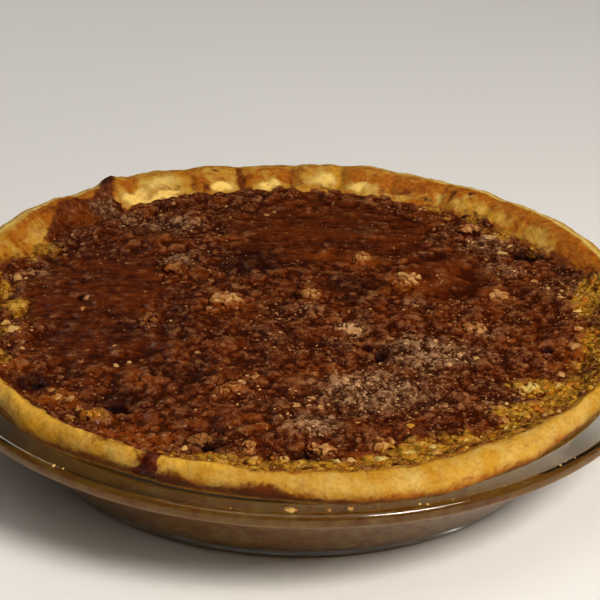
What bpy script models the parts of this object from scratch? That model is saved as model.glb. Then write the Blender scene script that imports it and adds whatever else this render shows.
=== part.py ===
"""Chocolate walnut tart, baked in its own clear glass dish.

Metres, +Z up. The origin is the middle of the dish's foot, and the front of the
tart faces -Y. Three turned bodies sit one inside the next: the dish, the pastry
crust and the filling. The crust's rolled rim is then shaped around the circle, the
filling gets its uneven baked surface and nut bits, and larger walnut pieces lie in
pockets of the filling.
"""

import math
import random

import bmesh
import bpy
from mathutils import Matrix, Vector, noise

# Dish: one glass wall, followed from the middle of its floor to the edge of the flange
DISH_RADIUS = 0.123
DISH_HEIGHT = 0.0375
DISH_WALL = 0.005
DISH_FLOOR_RADIUS = 0.0868
FLANGE_INNER_RADIUS = 0.1085
FLANGE_RISE = 0.0015
FLOOR_CORNER = 0.008
FLANGE_CORNER = 0.004
FLANGE_EDGE = 0.002
DISH_SEGMENTS = 72

# Crust: a lining of even thickness with a thick rolled rim that rests on the flange
GAP = 0.0003
CRUST_THICKNESS = 0.004
RIM_RADIUS = 0.112
RIM_HALF_WIDTH = 0.0065
RIM_MIDDLE_HEIGHT = 0.0422
RIM_HALF_HEIGHT = 0.0045
RIM_REST_RADIUS = 0.1152
RIM_FOLLOWS_FROM = 0.0372
RIM_FOLLOWS_OVER = 0.003

# Rim shape around the circle: finger creases, strongest at the back
CREASE_COUNT = 33
SEGMENTS_PER_CREASE = 4
CREASE_START = math.radians(360 / CREASE_COUNT / 2)
CREASE_HALF_WIDTH = math.radians(1.9)
CREASE_DEPTH = 0.0016
CREASES_BACK = math.radians(95)
CREASES_SPREAD = math.radians(42)
FRONT_CREASE_SHARE = 0.12
RIM_WAVE = 0.0006

# Filling
FILLING_RADIUS = 0.100
FILLING_EDGE_HEIGHT = 0.0403
FILLING_DOME = 0.0012
FILLING_RINGS = 18
LUMP_HEIGHT = 0.0018
LUMP_LENGTH = 0.011
FOLD_HEIGHT = 0.0011
FOLD_LENGTH = 0.034

# Smooth glaze pools, sunk a little: (x, y, half length, half width)
POOLS = ((0.012, 0.064, 0.044, 0.034), (-0.068, 0.012, 0.030, 0.038))
POOL_SINK = 0.0005
POOL_EDGE = (0.6, 1.1)
POOL_CALM = 0.85

# Small nut bits, fused to the filling
BIT_COUNT = 36
BIT_RADIUS = (0.0020, 0.0031)
BIT_FLATNESS = 0.75
BIT_LIFT = -0.1
BIT_EDGE_ROOM = 0.0045
BIT_SPACING = 0.0085
BIT_WALNUT_ROOM = 0.0016
BIT_ROUGHNESS = 0.12

# Walnut pieces: (azimuth in degrees, distance from the middle, length) from the photo
WALNUTS = (
    (169, 0.023, 0.0120), (60, 0.010, 0.0110), (32, 0.045, 0.0120), (60, 0.047, 0.0100),
    (-9, 0.060, 0.0110), (11, 0.0715, 0.0105), (-36, 0.023, 0.0095), (-110, 0.0595, 0.0100),
    (146, 0.051, 0.0100), (-165, 0.050, 0.0105), (-108, 0.0925, 0.0105), (-98, 0.0920, 0.0100),
    (-84, 0.0925, 0.0110), (-73, 0.0920, 0.0110), (-34, 0.0915, 0.0115), (47, 0.0915, 0.0100),
)
WALNUT_WIDTH_SHARE = 0.78
WALNUT_HEIGHT_SHARE = 0.56
WALNUT_LIFT = -0.0006
WALNUT_ROUGHNESS = 0.14
POCKET_CLEARANCE = 0.00035

SEED = 7
TINY = 1e-5


def between(value, low, high):
    """A smooth step from 0 at low to 1 at high."""
    share = min(max((value - low) / (high - low), 0.0), 1.0)
    return share * share * (3 - 2 * share)


def bump(azimuth, middle, half_width):
    """A smooth hill around the circle, 1 high at its middle."""
    turn = (azimuth - middle + math.pi) % (2 * math.pi) - math.pi
    return math.exp(-((turn / half_width) ** 2))


def offset(path, distance):
    """The path moved to its left by distance, with mitred corners."""
    moved = []
    for index, point in enumerate(path):
        sides = []
        if index > 0:
            sides.append((point - path[index - 1]).normalized())
        if index < len(path) - 1:
            sides.append((path[index + 1] - point).normalized())
        normals = [Vector((-side.y, side.x)) for side in sides]
        mitre = sum(normals, Vector((0, 0))).normalized()
        moved.append(point + mitre * distance / mitre.dot(normals[0]))
    return moved


def rounded(path, radii, steps=2):
    """The path with the corners named in radii {index: radius} turned into arcs."""
    points = []
    for index, corner in enumerate(path):
        if index not in radii:
            points.append(corner)
            continue
        back = (path[index - 1] - corner).normalized()
        ahead = (path[index + 1] - corner).normalized()
        half = math.acos(max(-1.0, min(1.0, back.dot(ahead)))) / 2
        reach = radii[index] / math.tan(half)
        middle = corner + (back + ahead).normalized() * radii[index] / math.sin(half)
        start = corner + back * reach - middle
        turn = math.pi - 2 * half
        side = 1 if back.x * ahead.y - back.y * ahead.x < 0 else -1
        for step in range(steps + 1):
            angle = side * turn * step / steps
            spun = Vector((start.x * math.cos(angle) - start.y * math.sin(angle),
                           start.x * math.sin(angle) + start.y * math.cos(angle)))
            points.append(middle + spun)
    return points


def dish_inside():
    """The dish's upper face as (radius, height): floor, wall and flange."""
    return [
        Vector((0, DISH_WALL)),
        Vector((DISH_FLOOR_RADIUS, DISH_WALL)),
        Vector((FLANGE_INNER_RADIUS, DISH_HEIGHT - FLANGE_RISE)),
        Vector((DISH_RADIUS, DISH_HEIGHT)),
    ]


def material(name, colour, roughness, transmission=0.0):
    made = bpy.data.materials.new(name)
    made.use_nodes = True
    shader = made.node_tree.nodes["Principled BSDF"]
    shader.inputs["Base Color"].default_value = (*colour, 1)
    shader.inputs["Roughness"].default_value = roughness
    shader.inputs["Metallic"].default_value = 0.0
    shader.inputs["Transmission Weight"].default_value = transmission
    made.diffuse_color = (*colour, 1)
    return made


def keep(obj, collection, finish=None):
    """Leaves the object in one collection only, with its finish."""
    for owner in list(obj.users_collection):
        owner.objects.unlink(obj)
    collection.objects.link(obj)
    if finish:
        obj.data.materials.clear()
        obj.data.materials.append(finish)
    return obj


def turned(name, profile, segments, collection, finish):
    """A profile of (radius, height) points, spun about the Z axis by a Screw modifier."""
    mesh = bpy.data.meshes.new(name)
    bm = bmesh.new()
    points = [bm.verts.new((point.x, 0, point.y)) for point in profile]
    for start, end in zip(points, points[1:]):
        bm.edges.new((start, end))
    bm.to_mesh(mesh)
    bm.free()
    obj = bpy.data.objects.new(name, mesh)
    keep(obj, collection, finish)
    screw = obj.modifiers.new("Turn", "SCREW")
    screw.axis = "Z"
    screw.steps = segments
    screw.render_steps = segments
    screw.use_merge_vertices = True
    screw.merge_threshold = TINY
    screw.use_smooth_shade = True
    return obj


def apply_modifiers(obj):
    """Swaps the object's mesh for the one that its modifiers make."""
    graph = bpy.context.evaluated_depsgraph_get()
    made = bpy.data.meshes.new_from_object(obj.evaluated_get(graph))
    old = obj.data
    obj.modifiers.clear()
    obj.data = made
    bpy.data.meshes.remove(old)


def make_dish(collection):
    inside = dish_inside()
    outside = offset(inside, -DISH_WALL)
    outside[-1] = Vector((DISH_RADIUS, outside[-1].y))
    path = inside + outside[::-1]
    path[-1] = Vector((0, 0))
    corners = {1: FLOOR_CORNER, 2: FLANGE_CORNER, 3: FLANGE_EDGE, 4: FLANGE_EDGE,
               5: FLANGE_EDGE, 6: FLOOR_CORNER}
    glass = material("clear_glass", (0.86, 0.9, 0.87), 0.03, transmission=1.0)
    return turned("dish", rounded(path, corners), DISH_SEGMENTS, collection, glass)


def crust_profile():
    """The pastry's section: floor, wall, the rolled rim over the flange, and underside."""
    under = offset(dish_inside(), GAP)
    lining = offset(dish_inside(), GAP + CRUST_THICKNESS)
    slope = (lining[2] - lining[1]).normalized()
    wall_top = lining[1] + slope * (FILLING_RADIUS - lining[1].x) / slope.x
    upper = rounded(
        [lining[0], lining[1], wall_top, Vector((FILLING_RADIUS, FILLING_EDGE_HEIGHT))],
        {1: FLOOR_CORNER - CRUST_THICKNESS},
        steps=1,
    )
    roll = []
    for degrees in (140, 115, 90, 60, 30, 0, -28, -56):
        angle = math.radians(degrees)
        roll.append(Vector((RIM_RADIUS + RIM_HALF_WIDTH * math.cos(angle),
                            RIM_MIDDLE_HEIGHT + RIM_HALF_HEIGHT * math.sin(angle))))
    flange = (under[3] - under[2]).normalized()
    rest = under[2] + flange * (RIM_REST_RADIUS - under[2].x) / flange.x
    lower = rounded([rest, under[2], under[1], under[0]], {2: FLOOR_CORNER}, steps=1)
    return upper + roll + lower


def crease_at(azimuth):
    """How deep the finger creases are here, from 0 to 1."""
    pitch = 2 * math.pi / CREASE_COUNT
    turn = (azimuth - CREASE_START + pitch / 2) % pitch - pitch / 2
    depth = math.exp(-((turn / CREASE_HALF_WIDTH) ** 2))
    strength = FRONT_CREASE_SHARE + bump(azimuth, CREASES_BACK, CREASES_SPREAD)
    return depth * strength


def shape_rim(azimuth, radius, height):
    """Where a point of the turned rim goes at this azimuth, as (radius, height)."""
    follow = between(height, RIM_FOLLOWS_FROM, RIM_FOLLOWS_FROM + RIM_FOLLOWS_OVER)
    follow *= between(radius, FILLING_RADIUS, FILLING_RADIUS + RIM_FOLLOWS_OVER)
    at = math.radians
    wave = noise.noise(Vector((3.1 * math.cos(azimuth), 3.1 * math.sin(azimuth), 4.2)))
    ripple = noise.noise(Vector((9 * math.cos(azimuth), 9 * math.sin(azimuth), 1.7)))
    # The roll is fattest at the front right and thin beside the overflow at the front left
    wide = 1 + 0.24 * bump(azimuth, at(-58), at(15)) - 0.12 * bump(azimuth, at(-122), at(14))
    wide += 0.06 * ripple
    shift = 0.0006 * bump(azimuth, at(-70), at(20)) - 0.0018 * bump(azimuth, at(-158), at(14))
    shift -= 0.0020 * bump(azimuth, at(-20), at(12)) + RIM_WAVE * 0.6 * wave
    lift = RIM_WAVE * ripple + 0.0012 * bump(azimuth, at(-60), at(18))
    lift -= 0.0008 * bump(azimuth, at(-111), at(3))
    # A burnt spill stands on the rim at the back left
    spill = bump(azimuth, at(128.5), at(2.4)) * between(radius, 0.104, 0.109)
    lift += 0.0022 * spill
    inner = between(RIM_RADIUS + 0.5 * RIM_HALF_WIDTH - radius, 0, RIM_HALF_WIDTH)
    crease = crease_at(azimuth) * CREASE_DEPTH
    moved_radius = RIM_RADIUS + shift + (radius - RIM_RADIUS) * wide + crease * inner
    moved_height = height + lift - crease * 0.7
    return (radius + (moved_radius - radius) * follow, height + (moved_height - height) * follow)


def make_crust(collection):
    pastry = material("baked_pastry", (0.74, 0.42, 0.13), 0.62)
    segments = CREASE_COUNT * SEGMENTS_PER_CREASE
    crust = turned("crust", crust_profile(), segments, collection, pastry)
    apply_modifiers(crust)
    for vertex in crust.data.vertices:
        radius = math.hypot(vertex.co.x, vertex.co.y)
        if radius < FILLING_RADIUS:
            continue
        azimuth = math.atan2(vertex.co.y, vertex.co.x)
        radius, height = shape_rim(azimuth, radius, vertex.co.z)
        vertex.co = (radius * math.cos(azimuth), radius * math.sin(azimuth), height)
    return crust


def calm_at(x, y):
    """1 in the middle of a glaze pool, 0 outside the pools."""
    reach = min(math.hypot((x - a) / long, (y - b) / wide) for a, b, long, wide in POOLS)
    return 1 - between(reach, *POOL_EDGE)


def filling_height(x, y):
    """The baked surface: a low dome with folds, and lumps outside the glaze pools."""
    share = math.hypot(x, y) / FILLING_RADIUS
    calm = calm_at(x, y)
    lumps = noise.noise(Vector((x, y, 0)) / LUMP_LENGTH) * (1 - POOL_CALM * calm)
    folds = noise.noise(Vector((x, 2 * y, 0)) / FOLD_LENGTH)
    height = FILLING_DOME * (1 - share ** 2) + LUMP_HEIGHT * lumps + FOLD_HEIGHT * folds
    return FILLING_EDGE_HEIGHT + (height - POOL_SINK * calm) * between(1 - share, 0, 0.08)


def round_disc(bm, rings, radius):
    """A flat disc of even triangles: a hexagon, subdivided and eased out to a circle."""
    bmesh.ops.create_circle(bm, cap_ends=True, cap_tris=True, segments=6, radius=radius)
    bmesh.ops.subdivide_edges(bm, edges=bm.edges[:], cuts=rings - 1, use_grid_fill=True)
    corner = math.radians(60)
    for vertex in bm.verts:
        reach = math.hypot(vertex.co.x, vertex.co.y)
        if reach < TINY:
            continue
        angle = math.atan2(vertex.co.x, vertex.co.y) % (2 * math.pi)
        sector = math.floor(angle / corner + TINY)
        inside = angle - sector * corner
        ring = reach * math.cos(inside - corner / 2) / math.cos(corner / 2)
        share = math.sin(inside) / (math.sin(inside) + math.sin(corner - inside))
        turn = (sector + share) * corner
        vertex.co = (ring * math.sin(turn), ring * math.cos(turn), 0)


def filling_side():
    """The filling's side below its surface, down the crust's lining to the floor."""
    lining = offset(dish_inside(), GAP + CRUST_THICKNESS + GAP)
    slope = (lining[2] - lining[1]).normalized()
    edge = FILLING_RADIUS - GAP
    wall_top = lining[1] + slope * (edge - lining[1].x) / slope.x
    corner = {1: FLOOR_CORNER - CRUST_THICKNESS}
    return rounded([wall_top, lining[1], lining[0]], corner, steps=1)[:-1]


def make_filling(collection):
    filled = material("chocolate_filling", (0.13, 0.035, 0.012), 0.42)
    mesh = bpy.data.meshes.new("filling")
    bm = bmesh.new()
    round_disc(bm, FILLING_RINGS, FILLING_RADIUS - GAP)
    for vertex in bm.verts:
        vertex.co.z = filling_height(vertex.co.x, vertex.co.y)
    rim = [edge for edge in bm.edges if edge.is_boundary]
    for point in filling_side():
        made = bmesh.ops.extrude_edge_only(bm, edges=rim)["geom"]
        rim = [item for item in made if isinstance(item, bmesh.types.BMEdge)]
        for vertex in {vertex for edge in rim for vertex in edge.verts}:
            around = math.atan2(vertex.co.y, vertex.co.x)
            vertex.co = (point.x * math.cos(around), point.x * math.sin(around), point.y)
    floor = bmesh.ops.contextual_create(bm, geom=rim)["faces"]
    bmesh.ops.poke(bm, faces=floor)
    bmesh.ops.recalc_face_normals(bm, faces=bm.faces[:])
    bm.to_mesh(mesh)
    bm.free()
    filling = bpy.data.objects.new("filling", mesh)
    return keep(filling, collection, filled)


def nut_piece(name, subdivisions, sizes, place, turns, roughness, seed):
    """A broken lump of nut: a small ball, stretched and made uneven, in world space."""
    bpy.ops.mesh.primitive_ico_sphere_add(subdivisions=subdivisions, radius=1)
    piece = bpy.context.object
    piece.name = name
    shift = Vector((seed * 3.7, seed * 1.3, seed * 2.1))
    shape = Matrix.Translation(place)
    for turn, axis in zip(turns, "XYZ"):
        shape @= Matrix.Rotation(turn, 4, axis)
    shape @= Matrix.Diagonal((*sizes, 1))
    for vertex in piece.data.vertices:
        swell = 1 + roughness * 2 * noise.noise(vertex.co * 1.4 + shift)
        vertex.co = shape @ (vertex.co * swell)
    return piece


def walnut_places():
    for azimuth, distance, length in WALNUTS:
        angle = math.radians(azimuth)
        yield distance * math.cos(angle), distance * math.sin(angle), length


def bit_places(draw):
    """Places for small nut bits: thick near the rim and at the front right, clear of walnuts."""
    taken = []
    while len(taken) < BIT_COUNT:
        reach = (FILLING_RADIUS - BIT_EDGE_ROOM) * math.sqrt(draw.random())
        angle = draw.uniform(0, 2 * math.pi)
        x, y = reach * math.cos(angle), reach * math.sin(angle)
        wanted = 0.25 + 0.6 * between(reach, 0.05, 0.095) + 0.5 * bump(angle, math.radians(-60), 0.9)
        if draw.random() > wanted:
            continue
        room = BIT_RADIUS[1] + BIT_WALNUT_ROOM
        near_walnut = any(math.hypot(x - a, y - b) < size / 2 + room
                          for a, b, size in walnut_places())
        near_bit = any(math.hypot(x - a, y - b) < BIT_SPACING for a, b in taken)
        if not (near_walnut or near_bit or calm_at(x, y) > 0):
            taken.append((x, y))
    return taken


def add_bits(filling, draw):
    """Fuses the small nut bits to the filling with one Boolean union."""
    group = bpy.data.collections.new("nut_bits")
    bpy.context.scene.collection.children.link(group)
    for index, (x, y) in enumerate(bit_places(draw)):
        size = draw.uniform(*BIT_RADIUS)
        sizes = (size * draw.uniform(1.0, 1.3), size, size * BIT_FLATNESS)
        place = (x, y, filling_height(x, y) + size * BIT_FLATNESS * BIT_LIFT)
        turns = (draw.uniform(-0.4, 0.4), draw.uniform(-0.4, 0.4), draw.uniform(0, math.pi))
        keep(nut_piece("bit_%02d" % index, 1, sizes, place, turns, BIT_ROUGHNESS, index), group)
    join = filling.modifiers.new("Nut bits", "BOOLEAN")
    join.operand_type = "COLLECTION"
    join.collection = group
    join.operation = "UNION"
    join.solver = "EXACT"
    apply_modifiers(filling)
    for piece in list(group.objects):
        bpy.data.objects.remove(piece)
    bpy.data.collections.remove(group)


def add_walnuts(filling, collection, cutters, draw):
    """Larger walnut pieces, each lying in its own pocket of the filling."""
    nut = material("toasted_walnut", (0.40, 0.20, 0.085), 0.55)
    for index, (x, y, length) in enumerate(walnut_places(), start=1):
        sizes = (length / 2, length / 2 * WALNUT_WIDTH_SHARE, length / 2 * WALNUT_HEIGHT_SHARE)
        place = (x, y, filling_height(x, y) + WALNUT_LIFT)
        turns = (draw.uniform(-0.25, 0.25), draw.uniform(-0.25, 0.25), draw.uniform(0, math.pi))
        walnut = nut_piece("walnut_%02d" % index, 2, sizes, place, turns, WALNUT_ROUGHNESS, index)
        keep(walnut, collection, nut)
        pocket = walnut.copy()
        pocket.data = walnut.data.copy()
        pocket.name = "pocket_%02d" % index
        for vertex in pocket.data.vertices:
            vertex.co += vertex.normal * POCKET_CLEARANCE
        keep(pocket, cutters)
        pocket.hide_render = True
        pocket.display_type = "WIRE"
    cut = filling.modifiers.new("Walnut pockets", "BOOLEAN")
    cut.operand_type = "COLLECTION"
    cut.collection = cutters
    cut.operation = "DIFFERENCE"
    cut.solver = "EXACT"


def main():
    for obj in list(bpy.data.objects):
        bpy.data.objects.remove(obj, do_unlink=True)
    tart = bpy.data.collections.new("chocolate_tart")
    cutters = bpy.data.collections.new("cutters")
    for group in (tart, cutters):
        bpy.context.scene.collection.children.link(group)
    draw = random.Random(SEED)
    make_dish(tart)
    make_crust(tart)
    filling = make_filling(tart)
    add_bits(filling, draw)
    add_walnuts(filling, tart, cutters, draw)
    for obj in tart.objects:
        if obj.name != "dish":
            obj.data.shade_smooth()
            obj.data.set_sharp_from_angle(angle=math.radians(50))


main()
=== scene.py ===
import math

import bpy
import numpy as np
from mathutils import Matrix, Vector, noise
from mathutils.bvhtree import BVHTree
from mathutils.kdtree import KDTree


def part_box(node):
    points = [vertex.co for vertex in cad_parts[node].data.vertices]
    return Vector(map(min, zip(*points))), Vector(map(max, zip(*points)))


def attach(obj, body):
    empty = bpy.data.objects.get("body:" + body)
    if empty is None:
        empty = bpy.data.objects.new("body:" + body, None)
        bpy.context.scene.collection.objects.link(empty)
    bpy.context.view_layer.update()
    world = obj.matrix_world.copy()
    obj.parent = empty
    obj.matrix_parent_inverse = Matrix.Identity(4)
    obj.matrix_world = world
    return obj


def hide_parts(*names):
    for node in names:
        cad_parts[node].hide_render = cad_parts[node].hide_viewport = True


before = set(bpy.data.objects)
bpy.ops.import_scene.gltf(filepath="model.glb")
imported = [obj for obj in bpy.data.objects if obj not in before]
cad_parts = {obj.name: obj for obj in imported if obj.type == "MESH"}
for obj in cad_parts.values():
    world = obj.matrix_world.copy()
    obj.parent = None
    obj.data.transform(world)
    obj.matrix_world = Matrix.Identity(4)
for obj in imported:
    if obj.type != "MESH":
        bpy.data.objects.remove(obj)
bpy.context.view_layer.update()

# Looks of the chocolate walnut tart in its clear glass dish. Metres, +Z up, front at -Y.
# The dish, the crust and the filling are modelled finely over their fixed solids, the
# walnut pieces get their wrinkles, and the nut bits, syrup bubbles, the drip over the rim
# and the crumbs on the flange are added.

MM = 0.001

# ---------------------------------------------------------------- sizes, as in the solids
DISH_RADIUS = 0.123
DISH_HEIGHT = 0.0375
DISH_WALL = 0.005
DISH_FLOOR_RADIUS = 0.0868
FLANGE_INNER_RADIUS = 0.1085
FLANGE_RISE = 0.0015
FLOOR_CORNER = 0.008
FLANGE_CORNER = 0.004
FLANGE_EDGE = 0.002
GAP = 0.0003
CRUST_THICKNESS = 0.004
RIM_RADIUS = 0.112
RIM_HALF_WIDTH = 0.0065
RIM_MIDDLE_HEIGHT = 0.0422
RIM_HALF_HEIGHT = 0.0045
RIM_REST_RADIUS = 0.1152
RIM_FOLLOWS_FROM = 0.0372
RIM_FOLLOWS_OVER = 0.003
CREASE_COUNT = 33
CREASE_START = math.radians(360 / CREASE_COUNT / 2)
CREASE_HALF_WIDTH = math.radians(1.9)
CREASE_DEPTH = 0.0016
CREASES_BACK = math.radians(95)
CREASES_SPREAD = math.radians(42)
FRONT_CREASE_SHARE = 0.12
RIM_WAVE = 0.0006
FILLING_RADIUS = 0.100
FILLING_EDGE_HEIGHT = 0.0403
FILLING_DOME = 0.0012
LUMP_HEIGHT = 0.0018
LUMP_LENGTH = 0.011
FOLD_HEIGHT = 0.0011
FOLD_LENGTH = 0.034
POOLS = ((0.012, 0.064, 0.044, 0.034), (-0.068, 0.012, 0.030, 0.038))
POOL_SINK = 0.0005
POOL_EDGE = (0.6, 1.1)
POOL_CALM = 0.85
WALNUT_COUNT = 16

# ---------------------------------------------------------------- sizes of the finer work
DISH_STEPS = 288
CRUST_STEPS = CREASE_COUNT * 29
REACH_INTO_GLASS = 0.00015
RIM_TURNS_OUT = 0.1095
FILLING_ROWS = (16, 10)
# How far the filling's fine surface reaches past the solid's, over the crust
FILLING_SKIRT = 2.6 * MM
# How far a place stands above its surroundings to be a full crest
CREST_HEIGHT = 0.22 * MM
# Rays that look for a surface start from this height
LOOK_FROM = 0.07
SEED = 11


# ================================================================ small helpers
def at(degrees):
    return math.radians(degrees)


def ease(value, low, high):
    """A smooth step from 0 at low to 1 at high, for one value or an array."""
    share = np.clip((value - low) / (high - low), 0.0, 1.0)
    return share * share * (3 - 2 * share)


def hill(azimuth, middle, half_width):
    """A smooth hill around the circle, 1 high at its middle."""
    turn = (azimuth - middle + math.pi) % (2 * math.pi) - math.pi
    return np.exp(-((turn / half_width) ** 2))


def hills(azimuth, table):
    """The sum of several hills, each (middle and half width in degrees, height)."""
    return sum(high * hill(azimuth, at(middle), at(half)) for middle, half, high in table)


def arc(azimuth, first, last, soft=2.0):
    """1 between two azimuths in degrees, fading over soft degrees outside them."""
    middle, half = at((first + last) / 2), at((last - first) / 2)
    away = np.abs((azimuth - middle + math.pi) % (2 * math.pi) - math.pi)
    return 1 - ease(away, half, half + at(soft))


def noise_over(points, length, shift=0.0):
    """Soft noise at many places, with features about length across."""
    return np.array([noise.noise(p) for p in (points / length + shift).tolist()])


def level(x, y):
    """Places as points at height 0, for noise that varies across the surface alone."""
    return np.stack([x, y, np.zeros_like(x)], axis=1)


def offset(path, distance):
    """The path moved to its left by distance, with mitred corners."""
    moved = []
    for index, point in enumerate(path):
        sides = []
        if index > 0:
            sides.append((point - path[index - 1]).normalized())
        if index < len(path) - 1:
            sides.append((path[index + 1] - point).normalized())
        normals = [Vector((-side.y, side.x)) for side in sides]
        mitre = sum(normals, Vector((0, 0))).normalized()
        moved.append(point + mitre * distance / mitre.dot(normals[0]))
    return moved


def rounded(path, radii, steps=5):
    """The path with the corners named in radii {index: radius} turned into arcs."""
    points = []
    for index, corner in enumerate(path):
        if index not in radii:
            points.append(corner)
            continue
        back = (path[index - 1] - corner).normalized()
        ahead = (path[index + 1] - corner).normalized()
        half = math.acos(max(-1.0, min(1.0, back.dot(ahead)))) / 2
        reach = radii[index] / math.tan(half)
        middle = corner + (back + ahead).normalized() * radii[index] / math.sin(half)
        start = corner + back * reach - middle
        turn = math.pi - 2 * half
        side = 1 if back.x * ahead.y - back.y * ahead.x < 0 else -1
        for step in range(steps + 1):
            spun = Matrix.Rotation(side * turn * step / steps, 2) @ start
            points.append(middle + spun)
    return points


def spaced(path, spacing):
    """The path with more points, so that none are further apart than spacing(point)."""
    points = [path[0]]
    for start, end in zip(path, path[1:]):
        parts = max(1, math.ceil((end - start).length / spacing((start + end) / 2)))
        points += [start.lerp(end, part / parts) for part in range(1, parts + 1)]
    return points


def clear_choice():
    bpy.ops.object.select_all(action="DESELECT")


def choose(piece):
    clear_choice()
    piece.select_set(True)
    bpy.context.view_layer.objects.active = piece


def open_mesh(piece, kind="VERT"):
    choose(piece)
    bpy.ops.object.mode_set(mode="EDIT")
    bpy.ops.mesh.select_mode(type=kind)
    bpy.ops.mesh.select_all(action="SELECT")


def close_mesh():
    bpy.ops.object.mode_set(mode="OBJECT")


def corners(piece):
    """All the corners of a piece's mesh as an array."""
    found = np.empty(len(piece.data.vertices) * 3)
    piece.data.vertices.foreach_get("co", found)
    return found.reshape(-1, 3)


def move_corners(piece, places):
    piece.data.vertices.foreach_set("co", np.asarray(places, float).ravel())
    piece.data.update()


def corner_normals(piece):
    """The direction that each corner faces, as an array."""
    found = np.empty(len(piece.data.vertices) * 3)
    piece.data.vertices.foreach_get("normal", found)
    return found.reshape(-1, 3)


def mark(piece, name, values):
    """Keeps one number per corner on the mesh, for the finishes to read."""
    layer = piece.data.attributes.new(name, "FLOAT", "POINT")
    layer.data.foreach_set("value", np.asarray(values, np.float32))


def weigh(piece, name, values):
    """A vertex group from an array, with small weights left out."""
    group = piece.vertex_groups.new(name=name)
    for weight in np.unique(np.round(values, 2)):
        if weight > 0:
            chosen = np.flatnonzero(np.round(values, 2) == weight).tolist()
            group.add(chosen, float(weight), "REPLACE")
    return name


def roughen(piece, kind, length, strength, group="", **texture):
    """Raises and sinks a surface by a cloud or cell pattern, then fixes that in the mesh."""
    pattern = bpy.data.textures.new(piece.name + "_relief", kind)
    pattern.noise_scale = length
    for key, value in texture.items():
        setattr(pattern, key, value)
    choose(piece)
    relief = piece.modifiers.new("Relief", "DISPLACE")
    relief.texture = pattern
    relief.texture_coords = "LOCAL"
    relief.strength = strength
    relief.mid_level = 0.5
    relief.vertex_group = group
    bpy.ops.object.modifier_apply(modifier=relief.name)


def face_outwards(piece):
    open_mesh(piece)
    bpy.ops.mesh.normals_make_consistent(inside=False)
    close_mesh()


def cut_away(piece, unwanted):
    """Deletes the corners that an array of true and false names."""
    open_mesh(piece)
    bpy.ops.mesh.select_all(action="DESELECT")
    close_mesh()
    piece.data.vertices.foreach_set("select", unwanted)
    bpy.ops.object.mode_set(mode="EDIT")
    bpy.ops.mesh.delete(type="VERT")
    close_mesh()


def give_body(piece, thickness, way=-1.0):
    """Makes a sheet a closed body, this thick, on one side of the sheet."""
    choose(piece)
    body = piece.modifiers.new("Body", "SOLIDIFY")
    body.thickness = thickness
    body.offset = way
    bpy.ops.object.modifier_apply(modifier=body.name)


def new_ball(fineness):
    clear_choice()
    bpy.ops.mesh.primitive_ico_sphere_add(subdivisions=fineness, radius=1)
    return bpy.context.object


def taken_shape(piece):
    """A piece's corners and faces as arrays, with the piece itself taken away."""
    shape = corners(piece)
    faces = np.array([tuple(face.vertices) for face in piece.data.polygons])
    bpy.data.objects.remove(piece)
    return shape, faces


def neighbours(piece):
    """The edges of a piece, each as its two corners."""
    found = np.empty(len(piece.data.edges) * 2, np.int32)
    piece.data.edges.foreach_get("vertices", found)
    return found.reshape(-1, 2)


def evened(values, edges, rounds):
    """The values averaged with their neighbours, several times over."""
    count = np.bincount(edges.ravel(), minlength=len(values)) + 1.0
    for _ in range(rounds):
        total = values + np.bincount(edges[:, 0], values[edges[:, 1]], len(values))
        total += np.bincount(edges[:, 1], values[edges[:, 0]], len(values))
        values = total / count
    return values


def finish_piece(piece, material, angle=None, stands_for=()):
    """Gives a piece its material and its shading, and says what it rides on."""
    piece.data.materials.clear()
    piece.data.materials.append(material)
    choose(piece)
    if angle is None:
        bpy.ops.object.shade_smooth()
    else:
        bpy.ops.object.shade_smooth_by_angle(angle=at(angle))
    if stands_for:
        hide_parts(*stands_for)
    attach(piece, "root")


def turned(name, profile, steps):
    """A piece turned about the middle: one corner drawn out along a profile, then turned."""
    clear_choice()
    bpy.ops.mesh.primitive_plane_add(size=MM)
    piece = bpy.context.object
    piece.name = piece.data.name = name
    open_mesh(piece)
    bpy.ops.mesh.merge(type="CENTER")
    bpy.ops.transform.translate(value=(profile[0].x, 0, profile[0].y))
    for start, end in zip(profile, profile[1:]):
        step = (end.x - start.x, 0, end.y - start.y)
        bpy.ops.mesh.extrude_region_move(TRANSFORM_OT_translate={"value": step})
    close_mesh()
    bpy.ops.object.transform_apply()
    turn = piece.modifiers.new("Turn", "SCREW")
    turn.steps = turn.render_steps = steps
    turn.use_merge_vertices = True
    turn.merge_threshold = 0.002 * MM
    bpy.ops.object.modifier_apply(modifier=turn.name)
    open_mesh(piece)
    bpy.ops.mesh.remove_doubles(threshold=0.002 * MM)
    bpy.ops.mesh.normals_make_consistent(inside=False)
    close_mesh()
    return piece


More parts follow.
